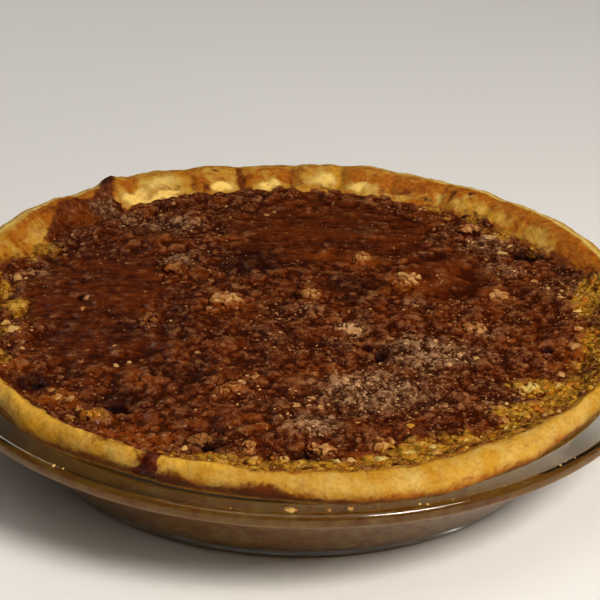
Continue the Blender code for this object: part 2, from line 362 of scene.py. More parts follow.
# ================================================================ where things lie
# Patches of the baked surface as (x, y, half length, half width, strength), in millimetres
MEALY_PATCHES = ((44, -29, 17, 13, 1.1), (26, -55, 23, 14, 0.95), (6, -77, 10, 7, 1.1),
                 (19, -13, 6, 5, 1.0), (64, -12, 10, 8, 0.5), (-72, 75, 6, 5, 0.9),
                 (50, 62, 8, 9, 0.5), (69, 58, 11, 9, 0.75), (-80, 66, 8, 5, 0.4),
                 (-62, 68, 9, 6, 0.6), (-46, 64, 13, 11, 0.65), (-41, 33, 10, 6, 0.65),
                 (26, 66, 8, 8, 0.6), (72, 36, 13, 10, 0.55), (91, 20, 8, 14, 0.45),
                 (5, 0, 9, 7, 0.5), (-88, 24, 8, 10, 0.55), (-14, -64, 19, 11, 0.35),
                 (40, 9, 11, 4, 0.5), (62, -60, 12, 8, 0.4), (-12, 82, 18, 6, 0.4))
AMBER_PATCHES = ((-82, 68, 14, 9, 0.65), (-70, 81, 8, 6, 0.6), (-25, 54, 9, 8, 0.6),
                 (9, 43, 14, 6, 0.65), (12, -44, 10, 6, 0.85), (-88, -45, 7, 9, 0.8),
                 (91, -28, 7, 12, 0.7), (-23, 4, 11, 8, 0.85), (38, 23, 10, 9, 0.85),
                 (23, 40, 8, 8, 0.8), (70, 13, 8, 8, 0.7), (59, -10, 8, 7, 0.6),
                 (5, 8, 8, 6, 0.5), (-20, -57, 7, 6, 0.5), (-26, -28, 7, 6, 0.55),
                 (-47, -52, 9, 6, 0.65), (-47, -88, 13, 9, 1.1), (-72, -65, 9, 6, 0.9),
                 (20, -98, 9, 5, 0.9), (-5, -78, 13, 5, 0.7), (72, -17, 15, 11, 0.5),
                 (44, -3, 12, 8, 0.35), (97, -16, 8, 8, 0.8), (-62, 17, 18, 14, 0.30),
                 (4, 82, 16, 8, 0.3), (-84, -30, 8, 12, 0.4))
DUSKY_PATCHES = ((-15, 36, 13, 12, 0.9), (-38, -11, 11, 12, 0.6), (-58, -19, 9, 10, 0.6),
                 (-34, -48, 11, 10, 0.6), (-24, -90, 8, 6, 0.8), (-56, -65, 9, 8, 0.95),
                 (-81, -58, 7, 8, 0.95), (83, 48, 6, 5, 0.9), (86, -7, 6, 12, 0.5),
                 (30, -30, 7, 6, 0.85), (23, 20, 11, 9, 0.65), (6, -97, 8, 5, 0.9),
                 (44, -79, 6, 5, 0.7), (-72, 5, 5, 5, 0.7), (62, -51, 11, 8, 0.45),
                 (-82, -55, 6, 5, 0.9), (-95, 2, 4, 6, 0.7), (94, 34, 6, 6, 0.5))
# Calm glaze beside the two pools of the solid
STILL_PATCHES = ((53, 30, 19, 22), (-62, -27, 27, 22))
# Pits, painted dark with shade in the filling's finish: (x, y, radius, depth)
PITS = ((-54.8, -69.5, 5.6, 3.2), (-81.5, -57.0, 4.0, 2.2), (-51.0, -71.5, 3.0, 1.6),
        (-25.1, -91.0, 3.2, 2.0), (84.0, 47.6, 4.6, 2.0), (79.0, 48.6, 2.5, 1.2),
        (28.5, -30.3, 3.0, 1.6), (4.1, -95.2, 2.8, 1.8), (-72.9, 5.8, 2.4, 1.2),
        (84.0, -22.0, 3.4, 1.3), (24.0, -26.0, 3.2, 1.2))
# The burst syrup bubble beside the big pit, in millimetres: its middle, the radius and the
# width of its raised ring, and how far its colour reaches
BUBBLE = (-60.5, -78.5)
BUBBLE_RING = (3.8, 1.4)
BUBBLE_REACH = 4.2
# Where the smear runs up the crust at the back left: azimuths and softness, in degrees
SMEAR = (134, 153, 2)
# How far out the boiled-over filling covers the crust: (azimuth in degrees, radius)
SPILL_EDGE = ((-180, 104.2), (-168, 105.0), (-158, 107.0), (-150, 110.0), (-142, 110.5),
              (-135, 110.8), (-128, 111.4), (-122, 112.2), (-117.5, 112.6), (-113, 111.4),
              (-107, 111.4), (-103.8, 111.0), (-99, 111.2), (-96.5, 112.4), (-90, 112.4),
              (-85.5, 112.3), (-79, 112.6), (-73, 112.9), (-68.5, 112.8), (-63.5, 111.6),
              (-60, 111.0), (-57, 111.6), (-52, 110.6), (-46, 110.0), (-40, 109.5), (-35, 109.5),
              (-31, 111.3), (-24, 110.5), (-12, 109.0), (0, 108.0), (10, 107.5), (16, 107.0),
              (19.5, 104.5), (24, 102.7), (29, 102.5), (34, 101.6), (42, 101.3), (46, 103.0),
              (48.2, 104.2), (51.4, 102.7), (54, 100.6), (60, 100.6), (75, 100.0), (103, 100.0),
              (106, 100.8), (109.3, 101.0), (113.6, 102.0), (118.3, 101.5), (121, 100.0),
              (129.6, 100.2), (130.6, 107.0), (131.8, 110.3), (133.6, 108.0), (135.3, 107.6),
              (136.8, 109.4), (140, 108.6), (143, 107.6), (146, 106.0), (148.5, 103.6),
              (151, 101.8), (154, 101.2), (165, 103.5), (180, 104.2))
# Golden, syrupy lumps along the edge, as the patches above
GOLD_PATCHES = ((80, -49, 11, 7, 1.0), (90, -50, 7, 6, 0.85), (72, -64, 12, 6, 0.95),
                (55, -82, 12, 5, 0.85), (40, -90, 13, 5, 0.95), (30, -100, 9, 4, 0.6),
                (-8, -99, 9, 4, 0.6), (-22, -96, 8, 4, 0.45), (-33, -101, 9, 4, 0.6),
                (-95, -3, 7, 6, 0.9), (-100, 8, 5, 7, 0.7), (-96, -20, 6, 8, 0.55),
                (99, -22, 6, 16, 0.85), (101, 12, 6, 15, 0.9), (93, -33, 6, 8, 0.5),
                (14, -102, 14, 4, 0.45), (52, 87, 7, 4, 0.7), (75, 66, 6, 6, 0.7),
                (64, 77, 6, 4, 0.6), (88, 52, 5, 5, 0.5), (-93, 42, 7, 8, 0.8),
                (-60, -77, 6, 4, 0.75), (-72, -65, 8, 5, 0.45), (-94, -42, 5, 9, 0.6))
# Larger nut bits set one by one: (x, y, size, tone)
SET_BITS = ((-96, 19, 3.0, 1.0), (-92, 23, 1.8, 0.8), (-93, -20, 2.8, 1.1), (-96, -15, 2.0, 0.9),
            (-95, -3, 2.6, 0.7), (-99, 5, 2.2, 0.6), (-71, 5, 1.7, 0.9), (-72, -2, 1.5, 0.8),
            (-12, -50, 1.6, 0.9), (1, -64, 2.1, 1.0), (6, -60, 1.7, 1.1), (9, -66, 1.5, 0.9),
            (55, -27, 1.6, 1.0), (17, -50, 1.5, 1.1), (21, -51, 1.4, 1.2), (61, -88, 2.0, 0.8),
            (79, -50, 2.4, 0.9), (85, -47, 2.0, 1.0), (72, -66, 2.4, 0.8), (66, -70, 1.9, 0.7),
            (44, -97, 2.2, 0.8), (50, -93, 1.8, 0.7), (-57, -42, 1.5, 1.0), (-53, -40, 1.2, 1.1),
            (77, 57, 1.8, 1.0), (84, 30, 1.7, 0.9), (-37, 42, 1.5, 0.8), (-68, -78, 1.9, 0.7),
            (14, -98, 3.0, 1.5), (18.5, -96.5, 1.8, 1.2), (27.5, -96, 2.9, 1.1),
            (-32, -93, 2.4, 1.4), (-73, -63, 2.4, 0.9), (-69, -67, 1.9, 0.8), (-76, -59, 1.7, 0.8),
            (-66, -71, 1.8, 0.8), (74, 50.5, 2.3, 1.5), (70, 62, 2.0, 1.2), (67, 56, 1.6, 1.1),
            (93, -20, 2.6, 0.9), (95, -8, 2.2, 0.9), (97, 8, 2.4, 1.0), (92, 16, 1.8, 1.0),
            (36, -91, 2.2, 0.9), (43, -88, 1.8, 1.0), (54, -83, 2.0, 1.0), (-2, -98, 1.9, 0.9),
            (-11, -97, 1.7, 0.9), (-20, -97, 1.8, 0.8), (87, -38, 2.2, 0.9))


def patchy(x, y, patches):
    """How strongly a set of patches shows at these places, with uneven outlines."""
    flat = level(x, y)
    push = 5 * MM * noise_over(flat, 8 * MM, 31.0)
    pull = 5 * MM * noise_over(flat, 8 * MM, 47.0)
    total = np.zeros_like(x)
    for a, b, long, wide, share in patches:
        reach = ((x + push) / MM - a) ** 2 / long ** 2 + ((y + pull) / MM - b) ** 2 / wide ** 2
        total = np.maximum(total, share * np.exp(-reach))
    return total


def golden_at(x, y):
    """How golden and syrupy it is: by the patches, and brokenly all along the front edge."""
    flat = level(x, y)
    radius, azimuth = np.hypot(x, y), np.arctan2(y, x)
    band = ease(radius, 0.0945, 0.0995) * arc(azimuth, -104, -20, 8)
    band *= 0.52 + 0.6 * noise_over(flat, 7 * MM, 71.0)
    return np.maximum(patchy(x, y, GOLD_PATCHES), band)


def mark_zones(piece, x, y):
    mark(piece, "mealy", patchy(x, y, MEALY_PATCHES))
    mark(piece, "amber", patchy(x, y, AMBER_PATCHES))
    mark(piece, "dusky", patchy(x, y, DUSKY_PATCHES))
    mark(piece, "golden", golden_at(x, y))


def calm_at(x, y):
    """1 in the middle of a glaze pool, 0 outside the pools, as in the solid."""
    reach = np.full_like(x, 9.0)
    for a, b, long, wide in POOLS:
        reach = np.minimum(reach, np.hypot((x - a) / long, (y - b) / wide))
    return 1 - ease(reach, *POOL_EDGE)


def still_at(x, y):
    """Where the surface is calm, with the smaller patches too."""
    still = calm_at(x, y)
    for a, b, long, wide in STILL_PATCHES:
        reach = np.hypot((x / MM - a) / long, (y / MM - b) / wide)
        still = np.maximum(still, 1 - ease(reach, *POOL_EDGE))
    return still


def spill_edge(azimuth):
    """The radius at which the boiled-over filling ends and bare pastry begins."""
    table = np.array(SPILL_EDGE)
    return np.interp(np.degrees(azimuth), table[:, 0], table[:, 1]) * MM


def bubble_away(x, y):
    """How far places lie from the burst bubble's middle, in millimetres."""
    return np.hypot(x - BUBBLE[0] * MM, y - BUBBLE[1] * MM) / MM


def bubble_ring(x, y):
    """The burst bubble's raised ring, 1 along its crest."""
    radius, width = BUBBLE_RING
    return np.exp(-(((bubble_away(x, y) - radius) / width) ** 2))


def bubble_spot(x, y):
    """Where the burst bubble's colour shows."""
    return 0.95 * np.exp(-((bubble_away(x, y) / BUBBLE_REACH) ** 4))


def surfaces_of(*pieces):
    deps = bpy.context.evaluated_depsgraph_get()
    return [BVHTree.FromObject(piece, deps) for piece in pieces]


def top_at(surfaces, x, y):
    """The highest place and its normal on some surfaces, straight below a point."""
    hits = [surface.ray_cast((x, y, LOOK_FROM), (0, 0, -1)) for surface in surfaces]
    hits = [hit for hit in hits if hit[0] is not None]
    return max(hits, key=lambda hit: hit[0].z)[:2] if hits else (None, None)


# ================================================================ finishes
# Colours, linear
GOLD = (0.50, 0.262, 0.020)
# Painted light: the brighter gold of the rim's left front
LEFT_LIGHT_GOLD = (0.66, 0.385, 0.052)
BUTTER = (0.62, 0.460, 0.155)
CREAM = (0.88, 0.620, 0.180)
TOAST = (0.365, 0.112, 0.005)
DARK_TOAST = (0.150, 0.038, 0.002)
CHAR = (0.040, 0.0095, 0.0055)
COCOA = (0.085, 0.015, 0.0025)
COCOA_FLECK = (0.200, 0.056, 0.0050)
OLIVE = (0.215, 0.112, 0.008)
YELLOW = (0.47, 0.245, 0.026)
CHOCOLATE = (0.057, 0.0077, 0.0006)
RED_CHOCOLATE = (0.105, 0.0190, 0.0013)
AMBER_GLAZE = (0.220, 0.049, 0.0024)
MEALY_CHOCOLATE = (0.098, 0.037, 0.0110)
DUSK = (0.026, 0.0040, 0.0016)
# Painted shade: near black in the filling's pits, dark in the gaps between its lumps
PIT_SHADE = (0.010, 0.0016, 0.0014)
GAP_SHADE = (0.024, 0.0030, 0.0003)
RED_SYRUP = (0.26, 0.040, 0.0025)
GOLDEN_SYRUP = (0.42, 0.150, 0.012)
DRIP_DARK = (0.048, 0.0066, 0.0030)
DRIP_RED = (0.140, 0.0270, 0.0060)
WALNUT = (0.38, 0.160, 0.038)
NUT = (0.275, 0.124, 0.051)
RED_NUT = (0.250, 0.088, 0.026)
GREY_NUT = (0.47, 0.285, 0.160)
DARK_NUT = (0.085, 0.028, 0.0105)
PALE_NUT = (0.54, 0.315, 0.125)
GLASS_TINTS = ((0.84, 0.89, 0.865), (0.90, 0.935, 0.915))
FLOOR_TINTS = ((0.78, 0.77, 0.755), (0.82, 0.81, 0.80))
# Painted shade: what the colour is multiplied by in the grain's pits
PASTRY_SHADE = (0.80, 0.72, 0.62)
CRUMB_SHADE = (0.7, 0.6, 0.5)
UNSHADED = (1.0, 1.0, 1.0)


def feed(tree, socket, value):
    """Links another node's output to a socket, or keeps a plain value on it."""
    if isinstance(value, bpy.types.NodeSocket):
        tree.links.new(value, socket)
    else:
        socket.default_value = value


def node(tree, kind, inputs=(), **settings):
    """Adds a shader node; an input is a plain value or another node's output."""
    made = tree.nodes.new("ShaderNode" + kind)
    for key, value in settings.items():
        setattr(made, key, value)
    for key, value in dict(inputs).items():
        feed(tree, made.inputs[key], value)
    return made


def mix_colour(tree, share, low, high, way="MIX"):
    made = node(tree, "Mix", {0: share}, data_type="RGBA", blend_type=way)
    for key, value in ((6, low), (7, high)):
        plain = not isinstance(value, bpy.types.NodeSocket)
        feed(tree, made.inputs[key], (*value, 1) if plain else value)
    return made.outputs[2]


def coated(tree, colour, coats):
    """A colour under a run of coats, each one a mask and the coat's own colour."""
    for share, coat in coats:
        colour = mix_colour(tree, share, colour, coat)
    return colour


def sums(tree, way, first, second=0.0, third=0.0, clamp=False):
    made = node(tree, "Math", {0: first, 1: second, 2: third}, operation=way)
    made.use_clamp = clamp
    return made.outputs[0]


def plus(tree, first, second):
    return sums(tree, "ADD", first, second)


def minus(tree, first, second):
    return sums(tree, "SUBTRACT", first, second)


def times(tree, first, second):
    return sums(tree, "MULTIPLY", first, second)


def times_plus(tree, first, second, third, clamp=False):
    return sums(tree, "MULTIPLY_ADD", first, second, third, clamp)


def span(tree, value, low, high, to_low=0.0, to_high=1.0):
    """Maps low..high to another range, smoothly and without going past its ends."""
    made = node(tree, "MapRange", {"Value": value, "From Min": low, "From Max": high,
                                   "To Min": to_low, "To Max": to_high})
    made.interpolation_type = "SMOOTHSTEP"
    return made.outputs[0]


def soft_noise(tree, place, scale, detail=3.0, rough=0.55, warp=0.0):
    made = node(tree, "TexNoise", {"Vector": place, "Scale": scale, "Detail": detail,
                                   "Roughness": rough, "Distortion": warp})
    return made.outputs["Fac"]


def read(tree, name):
    """One of the marks that are kept on the mesh."""
    return node(tree, "Attribute", attribute_name=name).outputs["Fac"]


def new_group(name, inputs, outputs):
    """An empty effect with named inputs {name: (kind, value)} and outputs {name: kind}."""
    made = bpy.data.node_groups.new(name, "ShaderNodeTree")
    for key, (kind, value) in inputs.items():
        socket = made.interface.new_socket(key, in_out="INPUT", socket_type="NodeSocket" + kind)
        if value is not None:
            socket.default_value = value
    for key, kind in outputs.items():
        made.interface.new_socket(key, in_out="OUTPUT", socket_type="NodeSocket" + kind)
    given = made.nodes.new("NodeGroupInput").outputs
    return made, given, made.nodes.new("NodeGroupOutput").inputs


def ragged_patch():
    """Turns a smooth mask into one with a ragged, broken edge, as browning or a stain has."""
    tree, given, out = new_group(
        "ragged_patch",
        {"Place": ("Vector", None), "Mask": ("Float", 0.5), "Scale": ("Float", 300.0),
         "Raggedness": ("Float", 0.5), "Softness": ("Float", 0.2)},
        {"Patch": "Float"})
    broad = soft_noise(tree, given["Place"], given["Scale"], 5.0, 0.6, 0.4)
    push = times(tree, minus(tree, broad, 0.5), given["Raggedness"])
    moved = plus(tree, given["Mask"], times(tree, push, 2.0))
    low, high = minus(tree, 0.5, given["Softness"]), plus(tree, 0.5, given["Softness"])
    tree.links.new(span(tree, moved, low, high), out["Patch"])
    return tree


def baked_grain():
    """Fine baked texture: cells of crumb with pits and small hairline cracks between."""
    tree, given, out = new_group(
        "baked_grain",
        {"Place": ("Vector", None), "Crumbs": ("Float", 900.0), "Pits": ("Float", 0.5)},
        {"Height": "Float", "Shade": "Float"})
    place, crumbs = given["Place"], given["Crumbs"]
    cells = node(tree, "TexVoronoi", {"Vector": place, "Scale": crumbs, "Randomness": 1.0},
                 feature="SMOOTH_F1").outputs["Distance"]
    fine = soft_noise(tree, place, times(tree, crumbs, 1.9), 4.0, 0.65)
    broad = soft_noise(tree, place, times(tree, crumbs, 0.3), 3.0, 0.5)
    sunk = times(tree, given["Pits"], -1.0)
    height = times_plus(tree, span(tree, cells, 0.35, 0.75), sunk, fine)
    height = times_plus(tree, broad, 0.8, height)
    tree.links.new(height, out["Height"])
    tree.links.new(span(tree, height, 0.25, 1.25), out["Shade"])
    return tree


def sugar_glaze():
    """Where the cooked sugar shines: a broken coat that is smoother where it lies thick."""
    tree, given, out = new_group(
        "sugar_glaze",
        {"Place": ("Vector", None), "Cover": ("Float", 0.6), "Scale": ("Float", 220.0),
         "Smooth": ("Float", 0.2), "Dull": ("Float", 0.6)},
        {"Coat": "Float", "Roughness": "Float"})
    patch = soft_noise(tree, given["Place"], given["Scale"], 4.0, 0.6)
    fine = soft_noise(tree, given["Place"], times(tree, given["Scale"], 6.0), 2.0, 0.5)
    coat = span(tree, plus(tree, given["Cover"], minus(tree, patch, 0.5)), 0.15, 0.75)
    tree.links.new(coat, out["Coat"])
    spread = node(tree, "Mix", {0: coat, 2: given["Dull"], 3: given["Smooth"]}).outputs[0]
    broken = times_plus(tree, minus(tree, fine, 0.5), 0.2, spread, clamp=True)
    tree.links.new(broken, out["Roughness"])
    return tree


def cocoa_tint():
    """The chocolate's and the nut's colour: redder or darker by noise, and by the patches."""
    tree, given, out = new_group(
        "cocoa_tint",
        {"Place": ("Vector", None), "Mealy": ("Float", 0.0), "Amber": ("Float", 0.0),
         "Dusky": ("Float", 0.0)},
        {"Chocolate": "Color", "Nut": "Color", "Syrup": "Color"})
    place = given["Place"]
    broad = soft_noise(tree, place, 70.0, 3.0, 0.6, 0.6)
    close = soft_noise(tree, place, 330.0, 4.0, 0.62, 0.3)
    around = minus(tree, close, 0.5)
    redder = span(tree, times_plus(tree, around, 0.6, broad), 0.34, 0.64)

    def uneven(name, spread, most):
        return span(tree, times_plus(tree, around, spread, given[name]), 0.15, 0.80, 0.0, most)

    mealy, amber, dusky = uneven("Mealy", 0.7, 0.85), uneven("Amber", 0.5, 0.9), uneven(
        "Dusky", 0.5, 0.9)
    chocolate = mix_colour(tree, redder, CHOCOLATE, RED_CHOCOLATE)
    chocolate = coated(tree, chocolate, ((amber, AMBER_GLAZE), (mealy, MEALY_CHOCOLATE),
                                         (dusky, DUSK)))
    nut = mix_colour(tree, redder, NUT, RED_NUT)
    nut = coated(tree, nut, ((mealy, GREY_NUT), (dusky, DARK_NUT)))
    syrup = mix_colour(tree, span(tree, close, 0.34, 0.60), OLIVE, YELLOW)
    syrup = mix_colour(tree, span(tree, close, 0.58, 0.72, 0.0, 0.5), syrup, BUTTER)
    tree.links.new(chocolate, out["Chocolate"])
    tree.links.new(nut, out["Nut"])
    tree.links.new(syrup, out["Syrup"])
    return tree


RAGGED = ragged_patch()
GRAIN = baked_grain()
GLAZE = sugar_glaze()
TINT = cocoa_tint()


def effect(tree, group, inputs):
    made = tree.nodes.new("ShaderNodeGroup")
    made.node_tree = group
    for key, value in inputs.items():
        feed(tree, made.inputs[key], value)
    return made.outputs


def ragged(tree, place, mask, scale, raggedness, softness):
    """A ragged patch, from a mask or from the mark of that name."""
    mask = read(tree, mask) if isinstance(mask, str) else mask
    return effect(tree, RAGGED, {"Place": place, "Mask": mask, "Scale": scale,
                                 "Raggedness": raggedness, "Softness": softness})["Patch"]


def grained(tree, place, crumbs, pits):
    return effect(tree, GRAIN, {"Place": place, "Crumbs": crumbs, "Pits": pits})


def tinted(tree, place):
    return effect(tree, TINT, {"Place": place, "Mealy": read(tree, "mealy"),
                               "Amber": read(tree, "amber"), "Dusky": read(tree, "dusky")})


def new_finish(name, **plain):
    """A material with its shader, its tree and the object's own coordinates."""
    made = bpy.data.materials.new(name)
    made.use_nodes = True
    tree = made.node_tree
    shader = tree.nodes["Principled BSDF"]
    for key, value in plain.items():
        shader.inputs[key.replace("_", " ")].default_value = value
    place = node(tree, "TexCoord").outputs["Object"]
    return made, tree, shader, place


def paint(tree, shader, colour):
    tree.links.new(colour, shader.inputs["Base Color"])


def paint_grained(tree, shader, colour, grain, shade):
    """Gives the shader a colour with painted shade in the grain's pits."""
    pitted = mix_colour(tree, grain["Shade"], shade, UNSHADED)
    paint(tree, shader, mix_colour(tree, 1.0, colour, pitted, "MULTIPLY"))


def glaze_over(tree, shader, place, cover, scale, smooth, dull, thick):
    """Breaks up the shine: smooth under the glaze, dull beside it, with a coat so thick."""
    glaze = effect(tree, GLAZE, {"Place": place, "Cover": cover, "Scale": scale,
                                 "Smooth": smooth, "Dull": dull})
    tree.links.new(glaze["Roughness"], shader.inputs["Roughness"])
    tree.links.new(times(tree, glaze["Coat"], thick), shader.inputs["Coat Weight"])


def raise_bump(tree, shader, height, distance, strength=1.0, before=None):
    made = node(tree, "Bump", {"Height": height, "Distance": distance, "Strength": strength})
    if before is not None:
        tree.links.new(before, made.inputs["Normal"])
    tree.links.new(made.outputs["Normal"], shader.inputs["Normal"])
    return made.outputs["Normal"]


def pastry_finish():
    """Baked pastry: gold and pale, browned, stained with chocolate and syrup, with painted light
    and painted highlights on the rim.
    """
    made, tree, shader, place = new_finish("baked_pastry", Roughness=0.6,
                                           Specular_IOR_Level=0.2, Coat_Roughness=0.2)
    mottle = soft_noise(tree, place, 95.0, 4.0, 0.6, 0.3)
    fleck = soft_noise(tree, place, 620.0, 4.0, 0.7)
    speckle = soft_noise(tree, place, 560.0, 3.0, 0.65, 0.4)
    grain = grained(tree, place, 1000.0, 0.45)
    # The pale mark holds pale patches of the pastry together with the rim's painted highlights and
    # painted light
    pale = read(tree, "butter_and_painted_light")
    cream = mix_colour(tree, span(tree, pale, 0.55, 0.95), BUTTER, CREAM)
    baked = mix_colour(tree, span(tree, speckle, 0.45, 0.62, 0.0, 0.32), TOAST, GOLD)
    baked = mix_colour(tree, span(tree, speckle, 0.34, 0.45, 0.45, 0.0), baked, DARK_TOAST)
    olive = mix_colour(tree, span(tree, fleck, 0.4, 0.6), OLIVE, YELLOW)
    stain = mix_colour(tree, span(tree, fleck, 0.40, 0.62), COCOA, COCOA_FLECK)
    syrup = ragged(tree, place, "syrup", 380.0, 0.5, 0.25)
    colour = mix_colour(tree, span(tree, mottle, 0.35, 0.7, 0.0, 0.55), GOLD, BUTTER)
    colour = coated(tree, colour, (
        (ragged(tree, place, pale, 260.0, 0.45, 0.28), cream),
        # Painted light: a brighter gold on the left front of the rim
        (ragged(tree, place, "left_front_light", 200.0, 0.8, 0.4), LEFT_LIGHT_GOLD),
        (ragged(tree, place, "toast", 260.0, 0.85, 0.36), baked),
        (ragged(tree, place, "dark_toast", 420.0, 0.6, 0.3), DARK_TOAST),
        (syrup, olive),
        (ragged(tree, place, "cocoa", 330.0, 0.95, 0.36), stain),
        (ragged(tree, place, "char", 700.0, 0.4, 0.25), CHAR)))
    paint_grained(tree, shader, colour, grain, PASTRY_SHADE)
    glaze_over(tree, shader, place, minus(tree, syrup, 0.25), 300.0, 0.42, 0.62, 0.05)
    raise_bump(tree, shader, grain["Height"], 0.16 * MM, 0.8)
    return made


def filling_finish():
    """Chocolate nut filling: red-brown, nut-pale on the crests partly as painted light, with
    painted shade in the gaps and near black in the pits.
    """
    made, tree, shader, place = new_finish("chocolate_filling", Roughness=0.4,
                                           Specular_IOR_Level=0.05, Coat_Roughness=0.16)
    crest, calm = read(tree, "crest"), read(tree, "calm")
    tint = tinted(tree, place)
    patch = soft_noise(tree, place, 240.0, 4.0, 0.65, 0.5)
    stretched = node(tree, "Mapping", {"Vector": place, "Scale": (1.0, 4.0, 1.0)}).outputs[0]
    streak = soft_noise(tree, stretched, 95.0, 5.0, 0.6, 1.0)
    grain = grained(tree, place, 900.0, 0.7)
    # Amber streaks in the calm pools: partly the glaze's own colour, partly painted sheen
    amber_sheen_streaks = times(tree, span(tree, streak, 0.46, 0.70), calm)
    speck = times(tree, span(tree, grain["Shade"], 0.45, 0.95),
                  span(tree, calm, 0.0, 1.0, 0.5, 0.10))
    # Crests take the nut's colour: partly nut showing through the chocolate, partly painted light
    # on the tops of the lumps
    high = times(tree, span(tree, crest, 0.0, 0.95, 0.0, 0.85), span(tree, patch, 0.36, 0.66))
    fleck = span(tree, soft_noise(tree, place, 1250.0, 2.0, 0.5), 0.56, 0.70)
    flecked = times_plus(tree, read(tree, "mealy"), 0.4, span(tree, calm, 0.0, 1.0, 0.55, 0.18))
    bubble = mix_colour(tree, patch, RED_SYRUP, GOLDEN_SYRUP)
    # Golden lumps get painted shade in their hollows and a painted highlight on their crests
    golden = mix_colour(tree, span(tree, crest, -0.9, 0.0, 0.2, 1.0), DARK_TOAST, tint["Syrup"])
    crest_highlight = times(tree, span(tree, crest, 0.3, 1.0, 0.0, 0.6), span(tree, patch, 0.46, 0.64))
    golden = coated(tree, golden, (
        (crest_highlight, BUTTER), (span(tree, patch, 0.50, 0.62, 0.0, 0.7), AMBER_GLAZE)))
    paint(tree, shader, coated(tree, tint["Chocolate"], (
        (times(tree, amber_sheen_streaks, 0.45), AMBER_GLAZE),
        (times(tree, speck, span(tree, patch, 0.35, 0.65)), tint["Nut"]),
        (high, tint["Nut"]),
        (times(tree, fleck, flecked), tint["Nut"]),
        (ragged(tree, place, "bubble", 420.0, 0.35, 0.3), bubble),
        # Painted shade: the low places between the lumps, and the pits below, are darkened
        (span(tree, crest, -0.9, -0.1, 0.7, 0.0), GAP_SHADE),
        (ragged(tree, place, "pit", 420.0, 0.35, 0.3), PIT_SHADE),
        (ragged(tree, place, "golden", 330.0, 0.5, 0.3), golden))))
    glaze_over(tree, shader, place, span(tree, calm, 0.0, 1.0, 0.40, 0.52), 260.0, 0.22, 0.55,
               span(tree, crest, -0.7, 0.3, 0.05, 0.2))
    fine = raise_bump(tree, shader, grain["Height"], 0.30 * MM, 0.9)
    raise_bump(tree, shader, streak, 0.35 * MM, 0.6, fine)
    return made


def nut_finish(name, tan, pale, reach):
    """Toasted nut: tan to brown by the bit's own tone, paler on top as painted light, with painted
    shade in its grooves; chocolate low down on its sides.
    """
    made, tree, shader, place = new_finish(name, Roughness=0.45, Specular_IOR_Level=0.08,
                                           Coat_Roughness=0.16)
    raised = read(tree, "raised")
    tint = tinted(tree, place)
    patch = soft_noise(tree, place, 480.0, 4.0, 0.6, 0.3)
    grain = grained(tree, place, 1300.0, 0.5)
    # Painted light makes the top of each piece paler, and painted shade darkens its grooves
    top = times(tree, read(tree, "tone"), span(tree, raised, *reach, 0.35, 1.15))
    top = times_plus(tree, read(tree, "groove"), -0.5, top)
    mixed = times_plus(tree, minus(tree, patch, 0.5), 1.3, top)
    nut = mix_colour(tree, 0.5, tint["Nut"], tan)
    dry = mix_colour(tree, span(tree, read(tree, "mealy"), 0.2, 1.0, 0.0, 0.8), pale, GREY_NUT)
    syrup = mix_colour(tree, span(tree, mixed, 0.5, 1.1), tint["Syrup"], BUTTER)
    dipped = ragged(tree, place, span(tree, raised, *reach, 1.0, 0.0), 520.0, 0.55, 0.3)
    paint(tree, shader, coated(tree, tint["Chocolate"], (
        (span(tree, mixed, 0.05, 0.66), nut),
        (span(tree, mixed, 0.60, 1.10), dry),
        (ragged(tree, place, "golden", 420.0, 0.5, 0.3), syrup),
        (dipped, tint["Chocolate"]))))
    glaze_over(tree, shader, place, times_plus(tree, dipped, 0.35, 0.35), 420.0, 0.24, 0.6, 0.22)
    raise_bump(tree, shader, grain["Height"], 0.14 * MM, 0.9)
    return made


def syrup_finish():
    """Sugar syrup that boiled over the filling's edge: olive-gold, glossy, red in the middle."""
    made, tree, shader, place = new_finish("boiled_syrup", Roughness=0.3,
                                           Specular_IOR_Level=0.2, Coat_Roughness=0.14)
    patch = soft_noise(tree, place, 420.0, 4.0, 0.6, 0.4)
    paint(tree, shader, coated(tree, TOAST, (
        (span(tree, read(tree, "tone"), 0.1, 0.6), tinted(tree, place)["Syrup"]),
        (span(tree, patch, 0.5, 0.72, 0.0, 0.6), TOAST),
        (span(tree, read(tree, "raised"), -0.2, 0.4, 0.8, 0.0), COCOA))))
    glaze_over(tree, shader, place, 0.6, 300.0, 0.2, 0.5, 0.2)
    raise_bump(tree, shader, patch, 0.3 * MM, 0.6)
    return made


def drip_finish():
    """The chocolate that ran over the rim: a dark red-brown film, a little glossy."""
    made, tree, shader, place = new_finish("chocolate_drip", Roughness=0.4,
                                           Specular_IOR_Level=0.1, Coat_Roughness=0.2)
    patch = soft_noise(tree, place, 420.0, 4.0, 0.6, 0.5)
    paint(tree, shader, mix_colour(tree, span(tree, patch, 0.35, 0.7), DRIP_DARK, DRIP_RED))
    glaze_over(tree, shader, place, 0.5, 300.0, 0.26, 0.55, 0.3)
    raise_bump(tree, shader, patch, 0.4 * MM, 0.6)
    return made


def crumb_finish():
    """Broken crust: pale inside, browned outside."""
    made, tree, shader, place = new_finish("pastry_crumbs", Roughness=0.7)
    grain = grained(tree, place, 1500.0, 0.6)
    browned = ragged(tree, place, "tone", 600.0, 0.6, 0.35)
    colour = mix_colour(tree, browned, BUTTER, TOAST)
    paint_grained(tree, shader, colour, grain, CRUMB_SHADE)
    raise_bump(tree, shader, grain["Height"], 0.15 * MM, 0.8)
    return made


